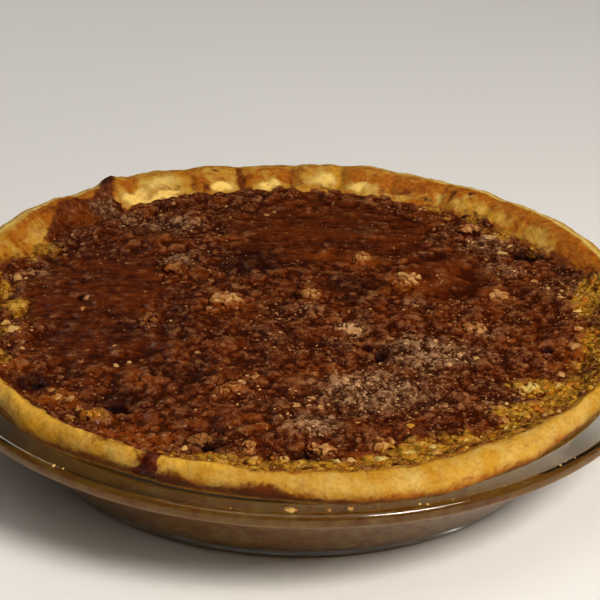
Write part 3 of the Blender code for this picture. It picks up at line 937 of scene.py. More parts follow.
def glass_finish():
    """Clear pressed glass, faintly green, with a few greasy finger marks on it."""
    made, tree, shader, place = new_finish("clear_glass", Transmission_Weight=1.0, IOR=1.47,
                                           Metallic=0.0)
    paint(tree, shader, mix_colour(tree, soft_noise(tree, place, 18.0, 2.0, 0.5), *GLASS_TINTS))
    smear = ragged(tree, place, soft_noise(tree, place, 60.0, 2.0, 0.5), 700.0, 0.35, 0.12)
    tree.links.new(span(tree, smear, 0.0, 1.0, 0.015, 0.12), shader.inputs["Roughness"])
    raise_bump(tree, shader, soft_noise(tree, place, 90.0, 1.0, 0.4), 0.04 * MM, 0.5)
    return made


# ================================================================ the dish
def dish_inside():
    """The dish's upper face as (radius, height): floor, wall and flange."""
    return [Vector((0, DISH_WALL)), Vector((DISH_FLOOR_RADIUS, DISH_WALL)),
            Vector((FLANGE_INNER_RADIUS, DISH_HEIGHT - FLANGE_RISE)),
            Vector((DISH_RADIUS, DISH_HEIGHT))]


def make_dish(material):
    inside = dish_inside()
    outside = offset(inside, -DISH_WALL)
    outside[-1] = Vector((DISH_RADIUS, outside[-1].y))
    path = inside + outside[::-1]
    path[-1] = Vector((0, 0))
    corner = {1: FLOOR_CORNER, 2: FLANGE_CORNER, 3: FLANGE_EDGE, 4: FLANGE_EDGE,
              5: FLANGE_EDGE, 6: FLOOR_CORNER}
    dish = turned("glass_dish", rounded(path, corner, 7), DISH_STEPS)
    finish_piece(dish, material, 40, ("dish",))
    return dish


# ================================================================ the crust
# Where the rolled rim's section has its points, in degrees from its outer side
ROLL_ANGLES = (140, 127, 115, 102, 90, 75, 60, 45, 30, 15, 0, -14, -28, -42, -56)


def crust_profile():
    """The pastry's section, fine on the rim and coarse where nothing of it shows."""
    under = offset(dish_inside(), -REACH_INTO_GLASS)
    lining = offset(dish_inside(), GAP + CRUST_THICKNESS)
    slope = (lining[2] - lining[1]).normalized()
    wall_top = lining[1] + slope * (FILLING_RADIUS - lining[1].x) / slope.x
    upper = rounded([lining[0], lining[1], wall_top,
                     Vector((FILLING_RADIUS, FILLING_EDGE_HEIGHT))],
                    {1: FLOOR_CORNER - CRUST_THICKNESS}, 2)
    roll = [Vector((RIM_RADIUS + RIM_HALF_WIDTH * math.cos(at(degrees)),
                    RIM_MIDDLE_HEIGHT + RIM_HALF_HEIGHT * math.sin(at(degrees))))
            for degrees in ROLL_ANGLES]
    flange = (under[3] - under[2]).normalized()
    rest = under[2] + flange * (RIM_REST_RADIUS - under[2].x) / flange.x
    lower = rounded([rest, under[2], under[1], under[0]], {1: FLANGE_CORNER, 2: FLOOR_CORNER}, 4)

    def spacing(point):
        if point.y < DISH_WALL + CRUST_THICKNESS + 3 * MM and point.x < DISH_FLOOR_RADIUS - 6 * MM:
            return 1.0
        if point.y > RIM_FOLLOWS_FROM + 0.8 * MM:
            return 0.52 * MM
        return 2.6 * MM

    return spaced(upper + roll + lower, spacing)


# How far the back's creases stand off their even spacing: azimuth and shift, in degrees
CREASE_SHIFTS = ((62, 81.6, 91.0, 102.0, 112.1, 126), (0, 0.2, 1.7, 1.6, 2.4, 0))
# How dark each of them is baked, by azimuth
CREASE_BROWNING = ((112.1, 0.50), (102.0, 1.0), (91.2, 0.60), (81.4, 0.35), (72.5, 0.30))
# How far the photo's outer edge stands out of the even rim's, and how much higher it is,
# in millimetres, by azimuth
OUTER_EDGE = (
    (-180, -145, -139, -134, -130, -126, -122, -119, -112, -109, -100, -91, -88, -86, -83, -80,
     -77, -71, -68, -65, -62, -58, -55, -51, -46, -41, -36, -28, -15, 0, 180),
    (0, -2.4, -2.6, -0.9, -1.3, -1.8, -2.8, -3.2, -3.1, -2.4, -2.2, -1.8, -0.9, -0.3, 0.4, 1.2,
     1.7, 1.6, 1.7, 0.8, -0.2, -0.5, -1.3, -0.7, -2.6, -3.1, -3.1, -2.6, -1.2, 0, 0),
    (0, 0.9, 1.1, 0.2, 0.3, 0.5, 0.9, 1.1, 1.1, 0.6, 0.5, 0.3, 0, 0, 0, -0.1,
     -0.2, -0.1, -0.2, 0, 0, 0, 0.3, 0.2, 0.7, 1.0, 1.0, 0.8, 0.4, 0, 0))
# How much higher the back's top edge is than the even rim's: azimuth, millimetres
TOP_EDGE = ((-30, 0, 18, 28, 37, 46, 60, 76, 84, 90, 94, 98, 103, 110, 116, 122.5, 125.5, 127,
             128.6, 131.2, 133.5, 137, 140, 147, 154, 170),
            (0, 0.4, 1.3, 0.7, 0.8, 0.3, 0, 0, -0.3, -0.9, -1.9, -1.8, -0.8, -0.9, -0.1, 0.3, 1.4,
             1.3, 0.3, -0.9, -0.8, 0, 0.4, 1.1, 0.5, 0))
# The front of the rim is narrower and lower, and stands further out: azimuths and softness
FRONT_ARC = (-150, -35, 24)
FRONT_NARROWER = 0.20
FRONT_OUT = 1.3 * MM
FRONT_LOWER = 0.4 * MM
# Where the rim is wider by a share, and where it stands further out or higher (minus: further
# in or lower), as (azimuth, half width, share or millimetres)
RIM_SWELL = ((-58, 15, 0.16),)
RIM_OUT = ((-70, 20, 0.6), (-158, 14, -1.8), (-20, 12, -2.0))
RIM_UP = ((-60, 18, 0.6), (-111, 3, -0.8))
# The burnt blob on the back of the rim, in millimetres: its middle and its half sizes
BURNT_BLOB = (-71.8, 89.0)
BURNT_SIZES = (3.2, 6.0)
BURNT_HEIGHT = 1.9 * MM
# The chocolate stain down the wall in front of it
COCOA_STAIN = (-71.2, 85.5)
COCOA_SIZES = (2.6, 8.5)


def crease_at(azimuth, half_width=CREASE_HALF_WIDTH):
    """How deep the finger creases are here, from 0 to 1."""
    pitch = 2 * math.pi / CREASE_COUNT
    azimuth = azimuth + np.radians(np.interp(np.degrees(azimuth), *CREASE_SHIFTS))
    turn = (azimuth - CREASE_START + pitch / 2) % pitch - pitch / 2
    depth = np.exp(-((turn / half_width) ** 2))
    return depth * (FRONT_CREASE_SHARE + hill(azimuth, CREASES_BACK, CREASES_SPREAD))


def burnt_blob(azimuth, radius):
    """The burnt blob that stands on the back of the rim, 1 at its middle."""
    x = (radius * np.cos(azimuth) / MM - BURNT_BLOB[0]) / BURNT_SIZES[0]
    y = (radius * np.sin(azimuth) / MM - BURNT_BLOB[1]) / BURNT_SIZES[1]
    return np.exp(-(x ** 2 + y ** 2))


def rim_noise(azimuth):
    """The long wave and the short ripple that run around the rim."""
    ring = np.stack([np.cos(azimuth), np.sin(azimuth), np.zeros_like(azimuth)], axis=1)
    wave = np.array([noise.noise(p) for p in (ring * 3.1 + (0, 0, 4.2)).tolist()])
    ripple = np.array([noise.noise(p) for p in (ring * 9 + (0, 0, 1.7)).tolist()])
    return wave, ripple


def shape_rim(azimuth, radius, height):
    """Where the points of the turned rim go, as (radius, height), as in the solid."""
    follow = ease(height, RIM_FOLLOWS_FROM, RIM_FOLLOWS_FROM + RIM_FOLLOWS_OVER)
    follow = follow * ease(radius, FILLING_RADIUS, FILLING_RADIUS + RIM_FOLLOWS_OVER)
    wave, ripple = rim_noise(azimuth)
    front = arc(azimuth, *FRONT_ARC)
    wide = 1 + hills(azimuth, RIM_SWELL) - FRONT_NARROWER * front + 0.06 * ripple
    shift = MM * hills(azimuth, RIM_OUT) - 0.6 * RIM_WAVE * wave + FRONT_OUT * front
    lift = MM * hills(azimuth, RIM_UP) + RIM_WAVE * ripple - FRONT_LOWER * front
    lift += BURNT_HEIGHT * burnt_blob(azimuth, radius)
    degrees = np.degrees(azimuth)
    lift += MM * np.interp(degrees, *TOP_EDGE) * ease(radius, 0.104, 0.110)
    inner = ease(RIM_RADIUS + 0.5 * RIM_HALF_WIDTH - radius, 0, RIM_HALF_WIDTH)
    crease = crease_at(azimuth) * CREASE_DEPTH
    moved_radius = RIM_RADIUS + shift + (radius - RIM_RADIUS) * wide + crease * inner
    moved_height = height + lift - crease * 0.35
    moved_radius = radius + (moved_radius - radius) * follow
    moved_height = height + (moved_height - height) * follow
    # The outer side and the part that rests on the flange stand further in or out
    outer = np.clip((radius - RIM_TURNS_OUT) / (RIM_REST_RADIUS - RIM_TURNS_OUT), 0, 1)
    further = MM * np.interp(degrees, OUTER_EDGE[0], OUTER_EDGE[1]) * outer
    raised = MM * np.interp(degrees, OUTER_EDGE[0], OUTER_EDGE[2]) * outer * follow
    return moved_radius + further, moved_height + raised


def rim_angle(radius, height):
    """The angle around the rolled rim in degrees: 180 inside, 90 on top, 0 outside."""
    return np.degrees(np.arctan2(height - RIM_MIDDLE_HEIGHT, radius - RIM_RADIUS)) % 360


# Patches on the inner wall and the top: the mark, azimuth in degrees, radius in millimetres,
# half width in degrees, half height in millimetres, strength. Gold ones leave no mark of
# their own, but keep the wall there from being browned.
WALL_PATCHES = (
    ("butter_and_painted_light", 125.6, 104.4, 3.5, 3.8, 1.0), ("butter_and_painted_light", 122.5, 101.8, 3.0, 1.8, 0.9),
    ("butter_and_painted_light", 118.6, 102.6, 3.6, 1.8, 1.0), ("butter_and_painted_light", 119.5, 107.5, 4.6, 3.4, 0.72),
    ("butter_and_painted_light", 106.2, 102.8, 2.8, 2.2, 1.1), ("butter_and_painted_light", 108.5, 109.8, 1.2, 1.0, 0.45),
    ("butter_and_painted_light", 104.5, 109.0, 1.2, 1.2, 0.45), ("butter_and_painted_light", 96.3, 102.5, 2.6, 2.3, 1.0),
    ("butter_and_painted_light", 98.6, 103.0, 1.0, 1.4, 0.5), ("butter_and_painted_light", 84.4, 106.0, 3.0, 3.2, 0.9),
    ("butter_and_painted_light", 87.6, 104.9, 1.2, 1.8, 0.6), ("butter_and_painted_light", 77.3, 103.4, 2.8, 1.8, 0.95),
    ("butter_and_painted_light", 59.8, 106.0, 1.5, 2.6, 0.62), ("butter_and_painted_light", 62.8, 106.4, 0.5, 0.8, 0.7),
    ("butter_and_painted_light", 47.5, 107.0, 2.6, 2.0, 0.35), ("butter_and_painted_light", 31.5, 104.8, 2.6, 2.8, 0.5),
    ("butter_and_painted_light", 28.4, 103.6, 1.5, 2.8, 0.66), ("butter_and_painted_light", 151.8, 105.2, 4.0, 3.0, 0.5),
    ("butter_and_painted_light", 66.5, 110.0, 1.2, 0.9, 0.5), ("butter_and_painted_light", 71.0, 106.0, 0.7, 0.8, 0.6),
    ("gold", 50.0, 104.6, 8.0, 3.2, 1.0), ("gold", 33.0, 104.8, 6.0, 3.4, 0.95),
    ("gold", 63.0, 103.6, 4.0, 1.6, 0.4), ("gold", 153.0, 103.5, 4.5, 3.5, 0.7),
    ("syrup", 50.4, 102.6, 3.0, 1.8, 0.6), ("syrup", 38.2, 102.6, 3.4, 1.8, 0.6),
    ("syrup", 56.5, 102.6, 1.8, 1.6, 0.6), ("syrup", 116.5, 104.6, 3.0, 1.3, 0.6),
    ("syrup", 96.3, 103.0, 0.7, 0.8, 0.7), ("syrup", 88.5, 102.8, 1.6, 1.4, 0.8),
    ("syrup", 84.5, 102.4, 2.6, 1.1, 0.6), ("syrup", 31.0, 102.3, 1.5, 1.2, 0.7),
    ("syrup", 6.0, 107.0, 9.0, 3.0, 0.6), ("syrup", -14.0, 108.0, 8.0, 3.0, 0.5),
    ("toast", 125.6, 109.4, 2.4, 1.8, 0.7), ("toast", 110.2, 104.5, 1.5, 3.6, 0.5),
    ("toast", 99.6, 106.2, 1.8, 2.6, 0.5), ("toast", 92.9, 106.4, 1.6, 3.0, 0.8),
    ("toast", 96.0, 110.2, 3.5, 0.9, 0.4), ("toast", 78.0, 107.4, 2.8, 2.6, 0.4),
    ("toast", 70.0, 107.5, 6.0, 3.6, 0.5), ("toast", 141, 110.6, 9.0, 2.2, 1.0),
    ("toast", 144, 107.5, 3.0, 3.0, 0.8), ("toast", 22, 108, 8.0, 3.5, 0.3),
    ("dark_toast", 107.0, 110.4, 0.8, 0.7, 0.8), ("dark_toast", 110.0, 102.8, 0.9, 1.3, 0.85),
    ("dark_toast", 94.0, 101.0, 1.6, 0.9, 0.7), ("dark_toast", 68.0, 104.5, 4.0, 1.5, 0.55),
    ("dark_toast", 64.0, 107.0, 1.0, 1.2, 0.5), ("dark_toast", 25.0, 103.5, 4.0, 2.0, 0.5),
    ("dark_toast", 100.2, 107.5, 0.9, 2.2, 0.5), ("dark_toast", 74.5, 108.5, 1.0, 1.2, 0.45),
    ("dark_toast", 142, 109.4, 7.0, 2.0, 0.72), ("dark_toast", 168, 104.5, 5.0, 2.5, 0.6),
    ("cocoa", 57.1, 106.9, 0.8, 2.3, 1.0), ("cocoa", 53.6, 109.6, 0.9, 1.7, 1.0),
    ("cocoa", 62.5, 103.6, 1.6, 1.2, 0.5), ("cocoa", 168, 103.5, 4.0, 1.8, 0.7))


def wall_patches(name, azimuth, moved, push, pull):
    """How strongly one kind of listed patch shows, with uneven outlines."""
    total = np.zeros_like(azimuth)
    turn = np.degrees(azimuth) + push
    for kind, middle, reach, half_width, half_height, share in WALL_PATCHES:
        if kind == name:
            away = np.hypot((turn - middle) / half_width,
                            ((moved + pull) / MM - reach) / half_height)
            total = np.maximum(total, share * np.exp(-(away ** 3)))
    return total


def stain_crust(crust, azimuth, radius, height, moved):
    """Marks where the crust is browned, pale, syrupy, chocolate-stained or charred, and where
    painted light and painted highlights brighten it.
    """
    places = corners(crust)
    push, pull = 1.1 * noise_over(places, 3 * MM, 5.0), 1.6 * MM * noise_over(places, 3 * MM, 9.0)
    angle = rim_angle(radius, height)
    angle = np.where(angle > 270, angle - 360, angle)
    shown = ease(height, 0.0376, 0.0386)
    inner = ease(angle, 104, 128) * shown
    under = 1 - ease(angle, -36, 4)
    beyond = moved - spill_edge(azimuth)
    near = (1 - ease(beyond, 0.2 * MM, 2.2 * MM)) * shown
    creased = sum(share * hill(azimuth, at(middle), at(0.95))
                  for middle, share in CREASE_BROWNING)
    back, right = arc(azimuth, 64, 128.5, 4), arc(azimuth, -16, 60, 8)
    left = arc(azimuth, -165, -100, 10)

    toast = 0.16 + 0.5 * under + 0.30 * back * ease(angle, 50, 76)
    toast += 0.62 * right * ease(angle, 72, 96) + 0.3 * arc(azimuth, 140, 215, 12) * inner
    toast += 0.35 * arc(azimuth, 131, 158, 3) * ease(angle, 88, 104)
    # Painted light: the last term browns the left front less
    toast += 0.20 * near * arc(azimuth, -160, -25, 10) - 0.20 * left
    toast += 0.40 * arc(azimuth, -160, -45, 8) * (1 - ease(angle, -12, 26))
    # Painted highlight: the front right of the rim is painted pale
    butter_and_painted_light = 0.30 + 0.42 * noise_over(places, 8 * MM, 13.0)
    butter_and_painted_light = np.minimum(butter_and_painted_light, 0.58) * arc(azimuth, -88, -30, 10)
    butter_and_painted_light *= (1 - under) * (1 - near)
    # Painted light: the left front of the rim is painted paler and a brighter gold
    butter_and_painted_light += 0.16 * arc(azimuth, -165, -98, 8) * (1 - under) * ease(angle, 18, 54)
    left_front_light = 0.68 * arc(azimuth, -172, -104, 12) * (1 - under) * ease(angle, 8, 60)
    # Painted highlight: a pale stripe along the top edge of the rim
    lit_rim_edge = ease(angle, 44, 60) * (1 - ease(angle, 78, 92))
    butter_and_painted_light += 0.7 * lit_rim_edge * np.maximum(arc(azimuth, 10, 76, 4), arc(azimuth, 132, 164, 4))
    dark = 0.95 * hill(azimuth, at(-93.6), at(3.3)) * (1 - ease(angle, 2, 38))
    dark += 0.6 * hill(azimuth, at(-107.5), at(2.8)) * (1 - ease(angle, 5, 40))
    dark += 0.42 * arc(azimuth, -160, -84, 8) * (1 - ease(angle, -18, 8))
    dark += 0.85 * creased * ease(angle, 66, 96) + 0.18 * under
    dark += 0.35 * right * inner * (1 - ease(moved, 0.1035, 0.107))
    cocoa = 0.8 * arc(azimuth, 133, 150, 3) * (1 - ease(beyond + pull, 0, 2.6 * MM)) * shown
    cocoa += 0.35 * creased * ease(angle, 110, 140) + 0.42 * near * (1 - back)
    cocoa += 0.8 * hill(azimuth, at(-111.4), at(2.1)) * (1 - ease(angle, 140, 170))
    syrup = 0.9 * golden_at(places[:, 0], places[:, 1]) * near
    stain_x = (places[:, 0] / MM - COCOA_STAIN[0]) / COCOA_SIZES[0]
    stain_y = (places[:, 1] / MM - COCOA_STAIN[1]) / COCOA_SIZES[1]
    cocoa += 1.2 * np.exp(-(stain_x ** 2 + stain_y ** 4)) * shown
    char = 0.75 * burnt_blob(azimuth, radius) * shown
    # Pale places are pale because they are hardly browned
    plain = [wall_patches(kind, azimuth, moved, push, pull) for kind in ("butter_and_painted_light", "gold")]
    bare = 1 - 0.85 * np.clip(np.maximum(*plain), 0, 1)
    toast, dark = toast * bare, dark * bare
    marks = {"toast": toast, "butter_and_painted_light": butter_and_painted_light, "left_front_light": left_front_light, "dark_toast": dark,
             "cocoa": cocoa, "syrup": syrup, "char": char}
    for name, values in marks.items():
        values = values + wall_patches(name, azimuth, moved, push, pull) * (angle > 60)
        if name == "butter_and_painted_light":
            values *= 1 - np.clip(creased, 0, 1)
        # Against the glass the pastry is browned in broad, soft patches
        hidden = 0.5 if name == "toast" else 0.0
        mark(crust, name, np.clip(values * shown + hidden * (1 - shown), 0, 1))


def make_crust(material):
    crust = turned("pastry_crust", crust_profile(), CRUST_STEPS)
    places = corners(crust)
    radius = np.hypot(places[:, 0], places[:, 1])
    azimuth = np.arctan2(places[:, 1], places[:, 0])
    height = places[:, 2]
    rim = radius > FILLING_RADIUS - 0.01 * MM
    before = (azimuth.copy(), radius.copy(), height.copy())
    moved_radius, moved_height = shape_rim(azimuth, radius, height)
    shown = ease(height, 0.0378, 0.0392) * rim
    # Narrow finger creases with a soft pillow between them, at the back
    narrow = crease_at(azimuth, at(0.8)) * ease(rim_angle(radius, height), 35, 90)
    inner = ease(RIM_RADIUS + 0.3 * RIM_HALF_WIDTH - radius, 0, RIM_HALF_WIDTH)
    moved_radius = moved_radius + narrow * shown * (0.9 * MM * inner)
    moved_height = moved_height - narrow * shown * 0.35 * MM
    moved_radius = np.where(rim, moved_radius, radius)
    moved_height = np.where(rim, moved_height, height)
    places = np.stack([moved_radius * np.cos(azimuth), moved_radius * np.sin(azimuth),
                       moved_height], axis=1)
    move_corners(crust, places)
    weigh(crust, "shown", shown)
    burnt = burnt_blob(azimuth, radius) * shown
    weigh(crust, "burnt", burnt)
    weigh(crust, "inside", shown * (1 - ease(radius, 0.105, 0.109)))
    roughen(crust, "CLOUDS", 9.0 * MM, 1.1 * MM, "shown", noise_depth=1)
    roughen(crust, "CLOUDS", 3.2 * MM, 0.55 * MM, "shown", noise_depth=2)
    roughen(crust, "CLOUDS", 1.5 * MM, 0.22 * MM, "shown", noise_depth=2)
    roughen(crust, "CLOUDS", 2.6 * MM, 0.9 * MM, "inside", noise_depth=2)
    roughen(crust, "VORONOI", 1.6 * MM, 0.9 * MM, "burnt")
    stain_crust(crust, *before, moved_radius)
    finish_piece(crust, material, None, ("crust",))
    return crust


# ================================================================ the filling
def filling_height(x, y, calm):
    """The baked surface, as in the solid."""
    share = np.hypot(x, y) / FILLING_RADIUS
    flat = level(x, y)
    lumps = noise_over(flat, LUMP_LENGTH) * (1 - POOL_CALM * calm)
    folds = noise_over(flat * (1, 2, 1), FOLD_LENGTH)
    height = FILLING_DOME * (1 - share ** 2) + LUMP_HEIGHT * lumps + FOLD_HEIGHT * folds
    return FILLING_EDGE_HEIGHT + (height - POOL_SINK * calm) * ease(1 - share, 0, 0.08)


def round_disc(name, rows, radius):
    """A flat disc of even triangles: a hexagon, subdivided, then eased out to a circle."""
    clear_choice()
    bpy.ops.mesh.primitive_circle_add(vertices=6, radius=radius, fill_type="TRIFAN")
    disc = bpy.context.object
    disc.name = disc.data.name = name
    open_mesh(disc, "EDGE")
    for count in rows:
        bpy.ops.mesh.subdivide(number_cuts=count - 1)
    close_mesh()
    places = corners(disc)
    corner = math.pi / 3
    reach = np.hypot(places[:, 0], places[:, 1])
    first = math.atan2(places[np.argmax(reach), 1], places[np.argmax(reach), 0])
    angle = (np.arctan2(places[:, 1], places[:, 0]) - first) % (2 * math.pi)
    sector = np.floor(angle / corner + 1e-6)
    inside = angle - sector * corner
    ring = reach * np.cos(inside - corner / 2) / math.cos(corner / 2)
    share = np.sin(inside) / (np.sin(inside) + np.sin(corner - inside))
    turn = (sector + share) * corner + first
    move_corners(disc, np.stack([ring * np.cos(turn), ring * np.sin(turn),
                                 np.zeros_like(ring)], axis=1))
    return disc


def filling_side():
    """The filling's side below its surface, down the crust's lining to the floor."""
    lining = offset(dish_inside(), GAP + CRUST_THICKNESS + GAP)
    slope = (lining[2] - lining[1]).normalized()
    edge = FILLING_RADIUS - GAP
    wall_top = lining[1] + slope * (edge - lining[1].x) / slope.x
    below = Vector((edge, FILLING_EDGE_HEIGHT - 2.5 * MM))
    return rounded([below, wall_top, lining[1], lining[0]],
                   {2: FLOOR_CORNER - CRUST_THICKNESS}, 2)[:-1]


def grainy_height(places, calm, draw, count, nearest, furthest):
    """Lumps of chopped nut under the chocolate, as one height for each corner."""
    flat = level(places[:, 0], places[:, 1])
    flat[:, 0] += 0.8 * MM * noise_over(flat, 1.9 * MM, 61.0)
    flat[:, 1] += 0.8 * MM * noise_over(flat, 1.9 * MM, 83.0)
    tree = KDTree(len(flat))
    for index, place in enumerate(flat.tolist()):
        tree.insert(place, index)
    tree.balance()
    raised = np.zeros(len(places))
    for number in range(count):
        reach = MM * math.sqrt(draw.uniform(nearest ** 2, furthest ** 2))
        turn = draw.uniform(0, 2 * math.pi)
        x, y = reach * math.cos(turn), reach * math.sin(turn)
        long = draw.uniform(2.0, 3.8) * MM if number < count // 10 else draw.uniform(0.7, 1.8) * MM
        wide, high = long * draw.uniform(0.6, 0.95), long * draw.uniform(0.2, 0.5)
        high = min(high, 1.5 * MM)
        spin, lean_x, lean_y = draw.uniform(0, math.pi), draw.normal(0, 0.3), draw.normal(0, 0.3)
        found = tree.find_range((x, y, 0), long)
        if not found:
            continue
        index = np.array([item[1] for item in found])
        away = flat[index, :2] - (x, y)
        u = (away[:, 0] * math.cos(spin) + away[:, 1] * math.sin(spin)) / long
        v = (away[:, 1] * math.cos(spin) - away[:, 0] * math.sin(spin)) / wide
        dome = np.clip(1 - u * u - v * v, 0, 1) ** 0.45
        lean = 0.85 + lean_x * u + lean_y * v
        lump = high * np.minimum(dome, np.clip(lean, 0.3, 1)) * (1 - 0.72 * calm[index])
        raised[index] = np.maximum(raised[index], lump)
    return raised


def filling_relief(places, draw):
    """The fine surface's height, and how far down in a pit each place lies."""
    x, y = places[:, 0], places[:, 1]
    flat, still = level(x, y), still_at(x, y)
    edge = ease(np.hypot(x, y), 0.088, 0.098)
    height = filling_height(x, y, calm_at(x, y))
    height += 0.5 * MM * noise_over(flat, 4.2 * MM, 5.0) * (1 - 0.6 * still)
    height += 0.28 * MM * noise_over(flat, 1.7 * MM, 9.0) * (1 - 0.75 * still)
    height += 0.22 * MM * noise_over(flat * (0.35, 1, 1), 2.6 * MM, 2.0) * still
    height += edge * (0.45 * MM + 0.9 * MM * noise_over(flat, 5.0 * MM, 3.0))
    height += grainy_height(places, still, draw, 4600, 0.0, 98.5)
    pit = np.zeros_like(x)
    for a, b, wide, deep in PITS:
        away = np.hypot(x - a * MM, y - b * MM) / (wide * MM)
        ragged_away = away * (1 + 0.35 * noise_over(flat, 2.5 * MM, a))
        hole = 1 - ease(ragged_away, 0.25, 1.0)
        height -= deep * MM * hole
        pit = np.maximum(pit, hole * min(1.0, deep / 2))
    return height + 1.9 * MM * bubble_ring(x, y), pit


def close_below(filling):
    """Adds the side and the floor, in one run of extrusions down the crust's lining."""
    radius, height = FILLING_RADIUS + FILLING_SKIRT, FILLING_EDGE_HEIGHT
    open_mesh(filling, "EDGE")
    bpy.ops.mesh.select_all(action="DESELECT")
    bpy.ops.mesh.select_non_manifold(extend=False)
    for number, point in enumerate(filling_side()):
        bpy.ops.mesh.extrude_region_move()
        # The first ring is pressed flat, because the surface's edge is uneven
        share, flatness = point.x / radius, 1.0 if number else 0.0
        bpy.ops.transform.resize(value=(share, share, flatness),
                                 center_override=(0, 0, height))
        bpy.ops.transform.translate(value=(0, 0, point.y - height))
        radius, height = point.x, point.y
    bpy.ops.mesh.extrude_region_move()
    bpy.ops.mesh.merge(type="CENTER")
    bpy.ops.mesh.select_all(action="SELECT")
    bpy.ops.mesh.normals_make_consistent(inside=False)
    close_mesh()


def make_filling(material, draw):
    filling = round_disc("nut_filling", FILLING_ROWS, FILLING_RADIUS + FILLING_SKIRT)
    places = corners(filling)
    x, y = places[:, 0].copy(), places[:, 1].copy()
    places[:, 2], pit = filling_relief(places, draw)
    move_corners(filling, places)
    close_below(filling)
    whole = corners(filling)
    z = whole[:, 2]
    crest = (z - evened(z, neighbours(filling), 14)) / CREST_HEIGHT
    hidden = np.zeros(len(whole) - len(x))
    for name, values in (("bubble", bubble_spot(x, y)), ("crest", crest[:len(x)]),
                         ("calm", still_at(x, y)), ("pit", pit)):
        mark(filling, name, np.concatenate([np.clip(values, -1, 1), hidden]))
    mark_zones(filling, whole[:, 0], whole[:, 1])
    finish_piece(filling, material, None, ("filling",))
    return filling


def make_spill(material, crust, filling, draw):
    """The filling that boiled up the crust: a ragged layer from its edge over the rim."""
    profile = [Vector((reach * MM, 0)) for reach in np.arange(98.0, 116.1, 0.5)]
    spill = turned("boiled_over_edge", profile, CRUST_STEPS)
    places = corners(spill)
    x, y = places[:, 0], places[:, 1]
    radius, azimuth = np.hypot(x, y), np.arctan2(y, x)
    flat, film = level(x, y), arc(azimuth, *SMEAR)
    below = surfaces_of(crust, filling)
    found = [top_at(below, a, b)[0] for a, b in zip(x.tolist(), y.tolist())]
    ground = np.array([place.z if place else DISH_HEIGHT for place in found])
    edge = spill_edge(azimuth) + 1.1 * MM * noise_over(flat, 3.4 * MM, 12.0)
    edge += 0.6 * MM * noise_over(flat, 1.4 * MM, 21.0)
    edge += 1.6 * MM * noise_over(flat, 6 * MM, 2.0) * film
    cover = (1 - ease(radius, edge - 1.9 * MM, edge + 0.4 * MM)) * ease(radius, 0.0985, 0.1000)
    rise = (0.5 - 0.32 * film) * MM
    rise += 0.45 * MM * noise_over(flat, 3.5 * MM, 3.0) * (1 - 0.6 * film)
    rise += 0.25 * MM * noise_over(flat, 1.3 * MM, 7.0) * (1 - 0.2 * film)
    rise += 0.8 * grainy_height(places, 0.75 * film, draw, 1300, 99.0, 113.5)
    rise = np.maximum(rise + 1.2 * MM * bubble_ring(x, y), 0.1 * MM)
    places[:, 2] = ground + cover * rise - (1 - cover) * 0.55 * MM
    move_corners(spill, places)
    edges = neighbours(spill)
    mark(spill, "crest", np.clip((rise - evened(rise, edges, 10)) / CREST_HEIGHT, -1, 1))
    mark(spill, "calm", 0.55 * film)
    mark(spill, "pit", np.zeros_like(x))
    mark(spill, "bubble", bubble_spot(x, y))
    mark_zones(spill, x, y)
    # What lies hidden below the crust is taken away, and the rest gets an underside
    cut_away(spill, evened((cover > 0.01).astype(float), edges, 3) == 0)
    face_outwards(spill)
    if corner_normals(spill)[:, 2].sum() < 0:
        open_mesh(spill)
        bpy.ops.mesh.flip_normals()
        close_mesh()
    give_body(spill, 0.6 * MM)
    finish_piece(spill, material, None)
    return spill


# ================================================================ walnut pieces
# How pale each walnut piece shows, 0 dark to 1 pale, in the solids' order
WALNUT_TONES = (0.84, 0.78, 0.80, 0.70, 0.70, 0.72, 0.94, 0.56, 0.42, 0.50, 0.56, 0.68, 0.78,
                0.64, 0.84, 0.66)


def wrinkle(piece, length, depth, seed):
    """Sinks narrow, winding grooves in a walnut piece, as between its lobes."""
    places = corners(piece)
    groove = 1 - ease(np.abs(noise_over(places, length, seed * 2.3)), 0.0, 0.20)
    groove += 0.5 * (1 - ease(np.abs(noise_over(places, length * 0.5, seed * 1.1)), 0.0, 0.2))
    move_corners(piece, places - corner_normals(piece) * (groove * depth)[:, None])
    mark(piece, "groove", np.clip(groove, 0, 1))


def make_walnuts(material):
    """The walnut pieces, finely made over their solids. Returns where each one's middle is."""
    middles = []
    for number in range(1, WALNUT_COUNT + 1):
        name = "walnut_%02d" % number
        piece = bpy.data.objects.new("walnut_piece_%02d" % number,
                                     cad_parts[name].data.copy())
        bpy.context.scene.collection.objects.link(piece)
        open_mesh(piece)
        bpy.ops.mesh.remove_doubles(threshold=0.01 * MM)
        bpy.ops.mesh.select_all(action="SELECT")
        bpy.ops.mesh.customdata_custom_splitnormals_clear()
        bpy.ops.mesh.subdivide(number_cuts=5, smoothness=1.0)
        close_mesh()
        roughen(piece, "CLOUDS", 4.0 * MM, 3.0 * MM, noise_depth=1)
        wrinkle(piece, 3.4 * MM, 0.9 * MM, number)
        roughen(piece, "CLOUDS", 1.2 * MM, 0.6 * MM, noise_depth=2)
        low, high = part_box(name)
        middle, half = (low.z + high.z) / 2, (high.z - low.z) / 2
        x, y, z = corners(piece).T
        mark(piece, "raised", (z - middle) / half)
        mark(piece, "tone", np.full(len(z), WALNUT_TONES[number - 1]))
        mark_zones(piece, x, y)
        finish_piece(piece, material, 60, (name,))
        middles.append(((low.x + high.x) / 2, (low.y + high.y) / 2))
    return middles


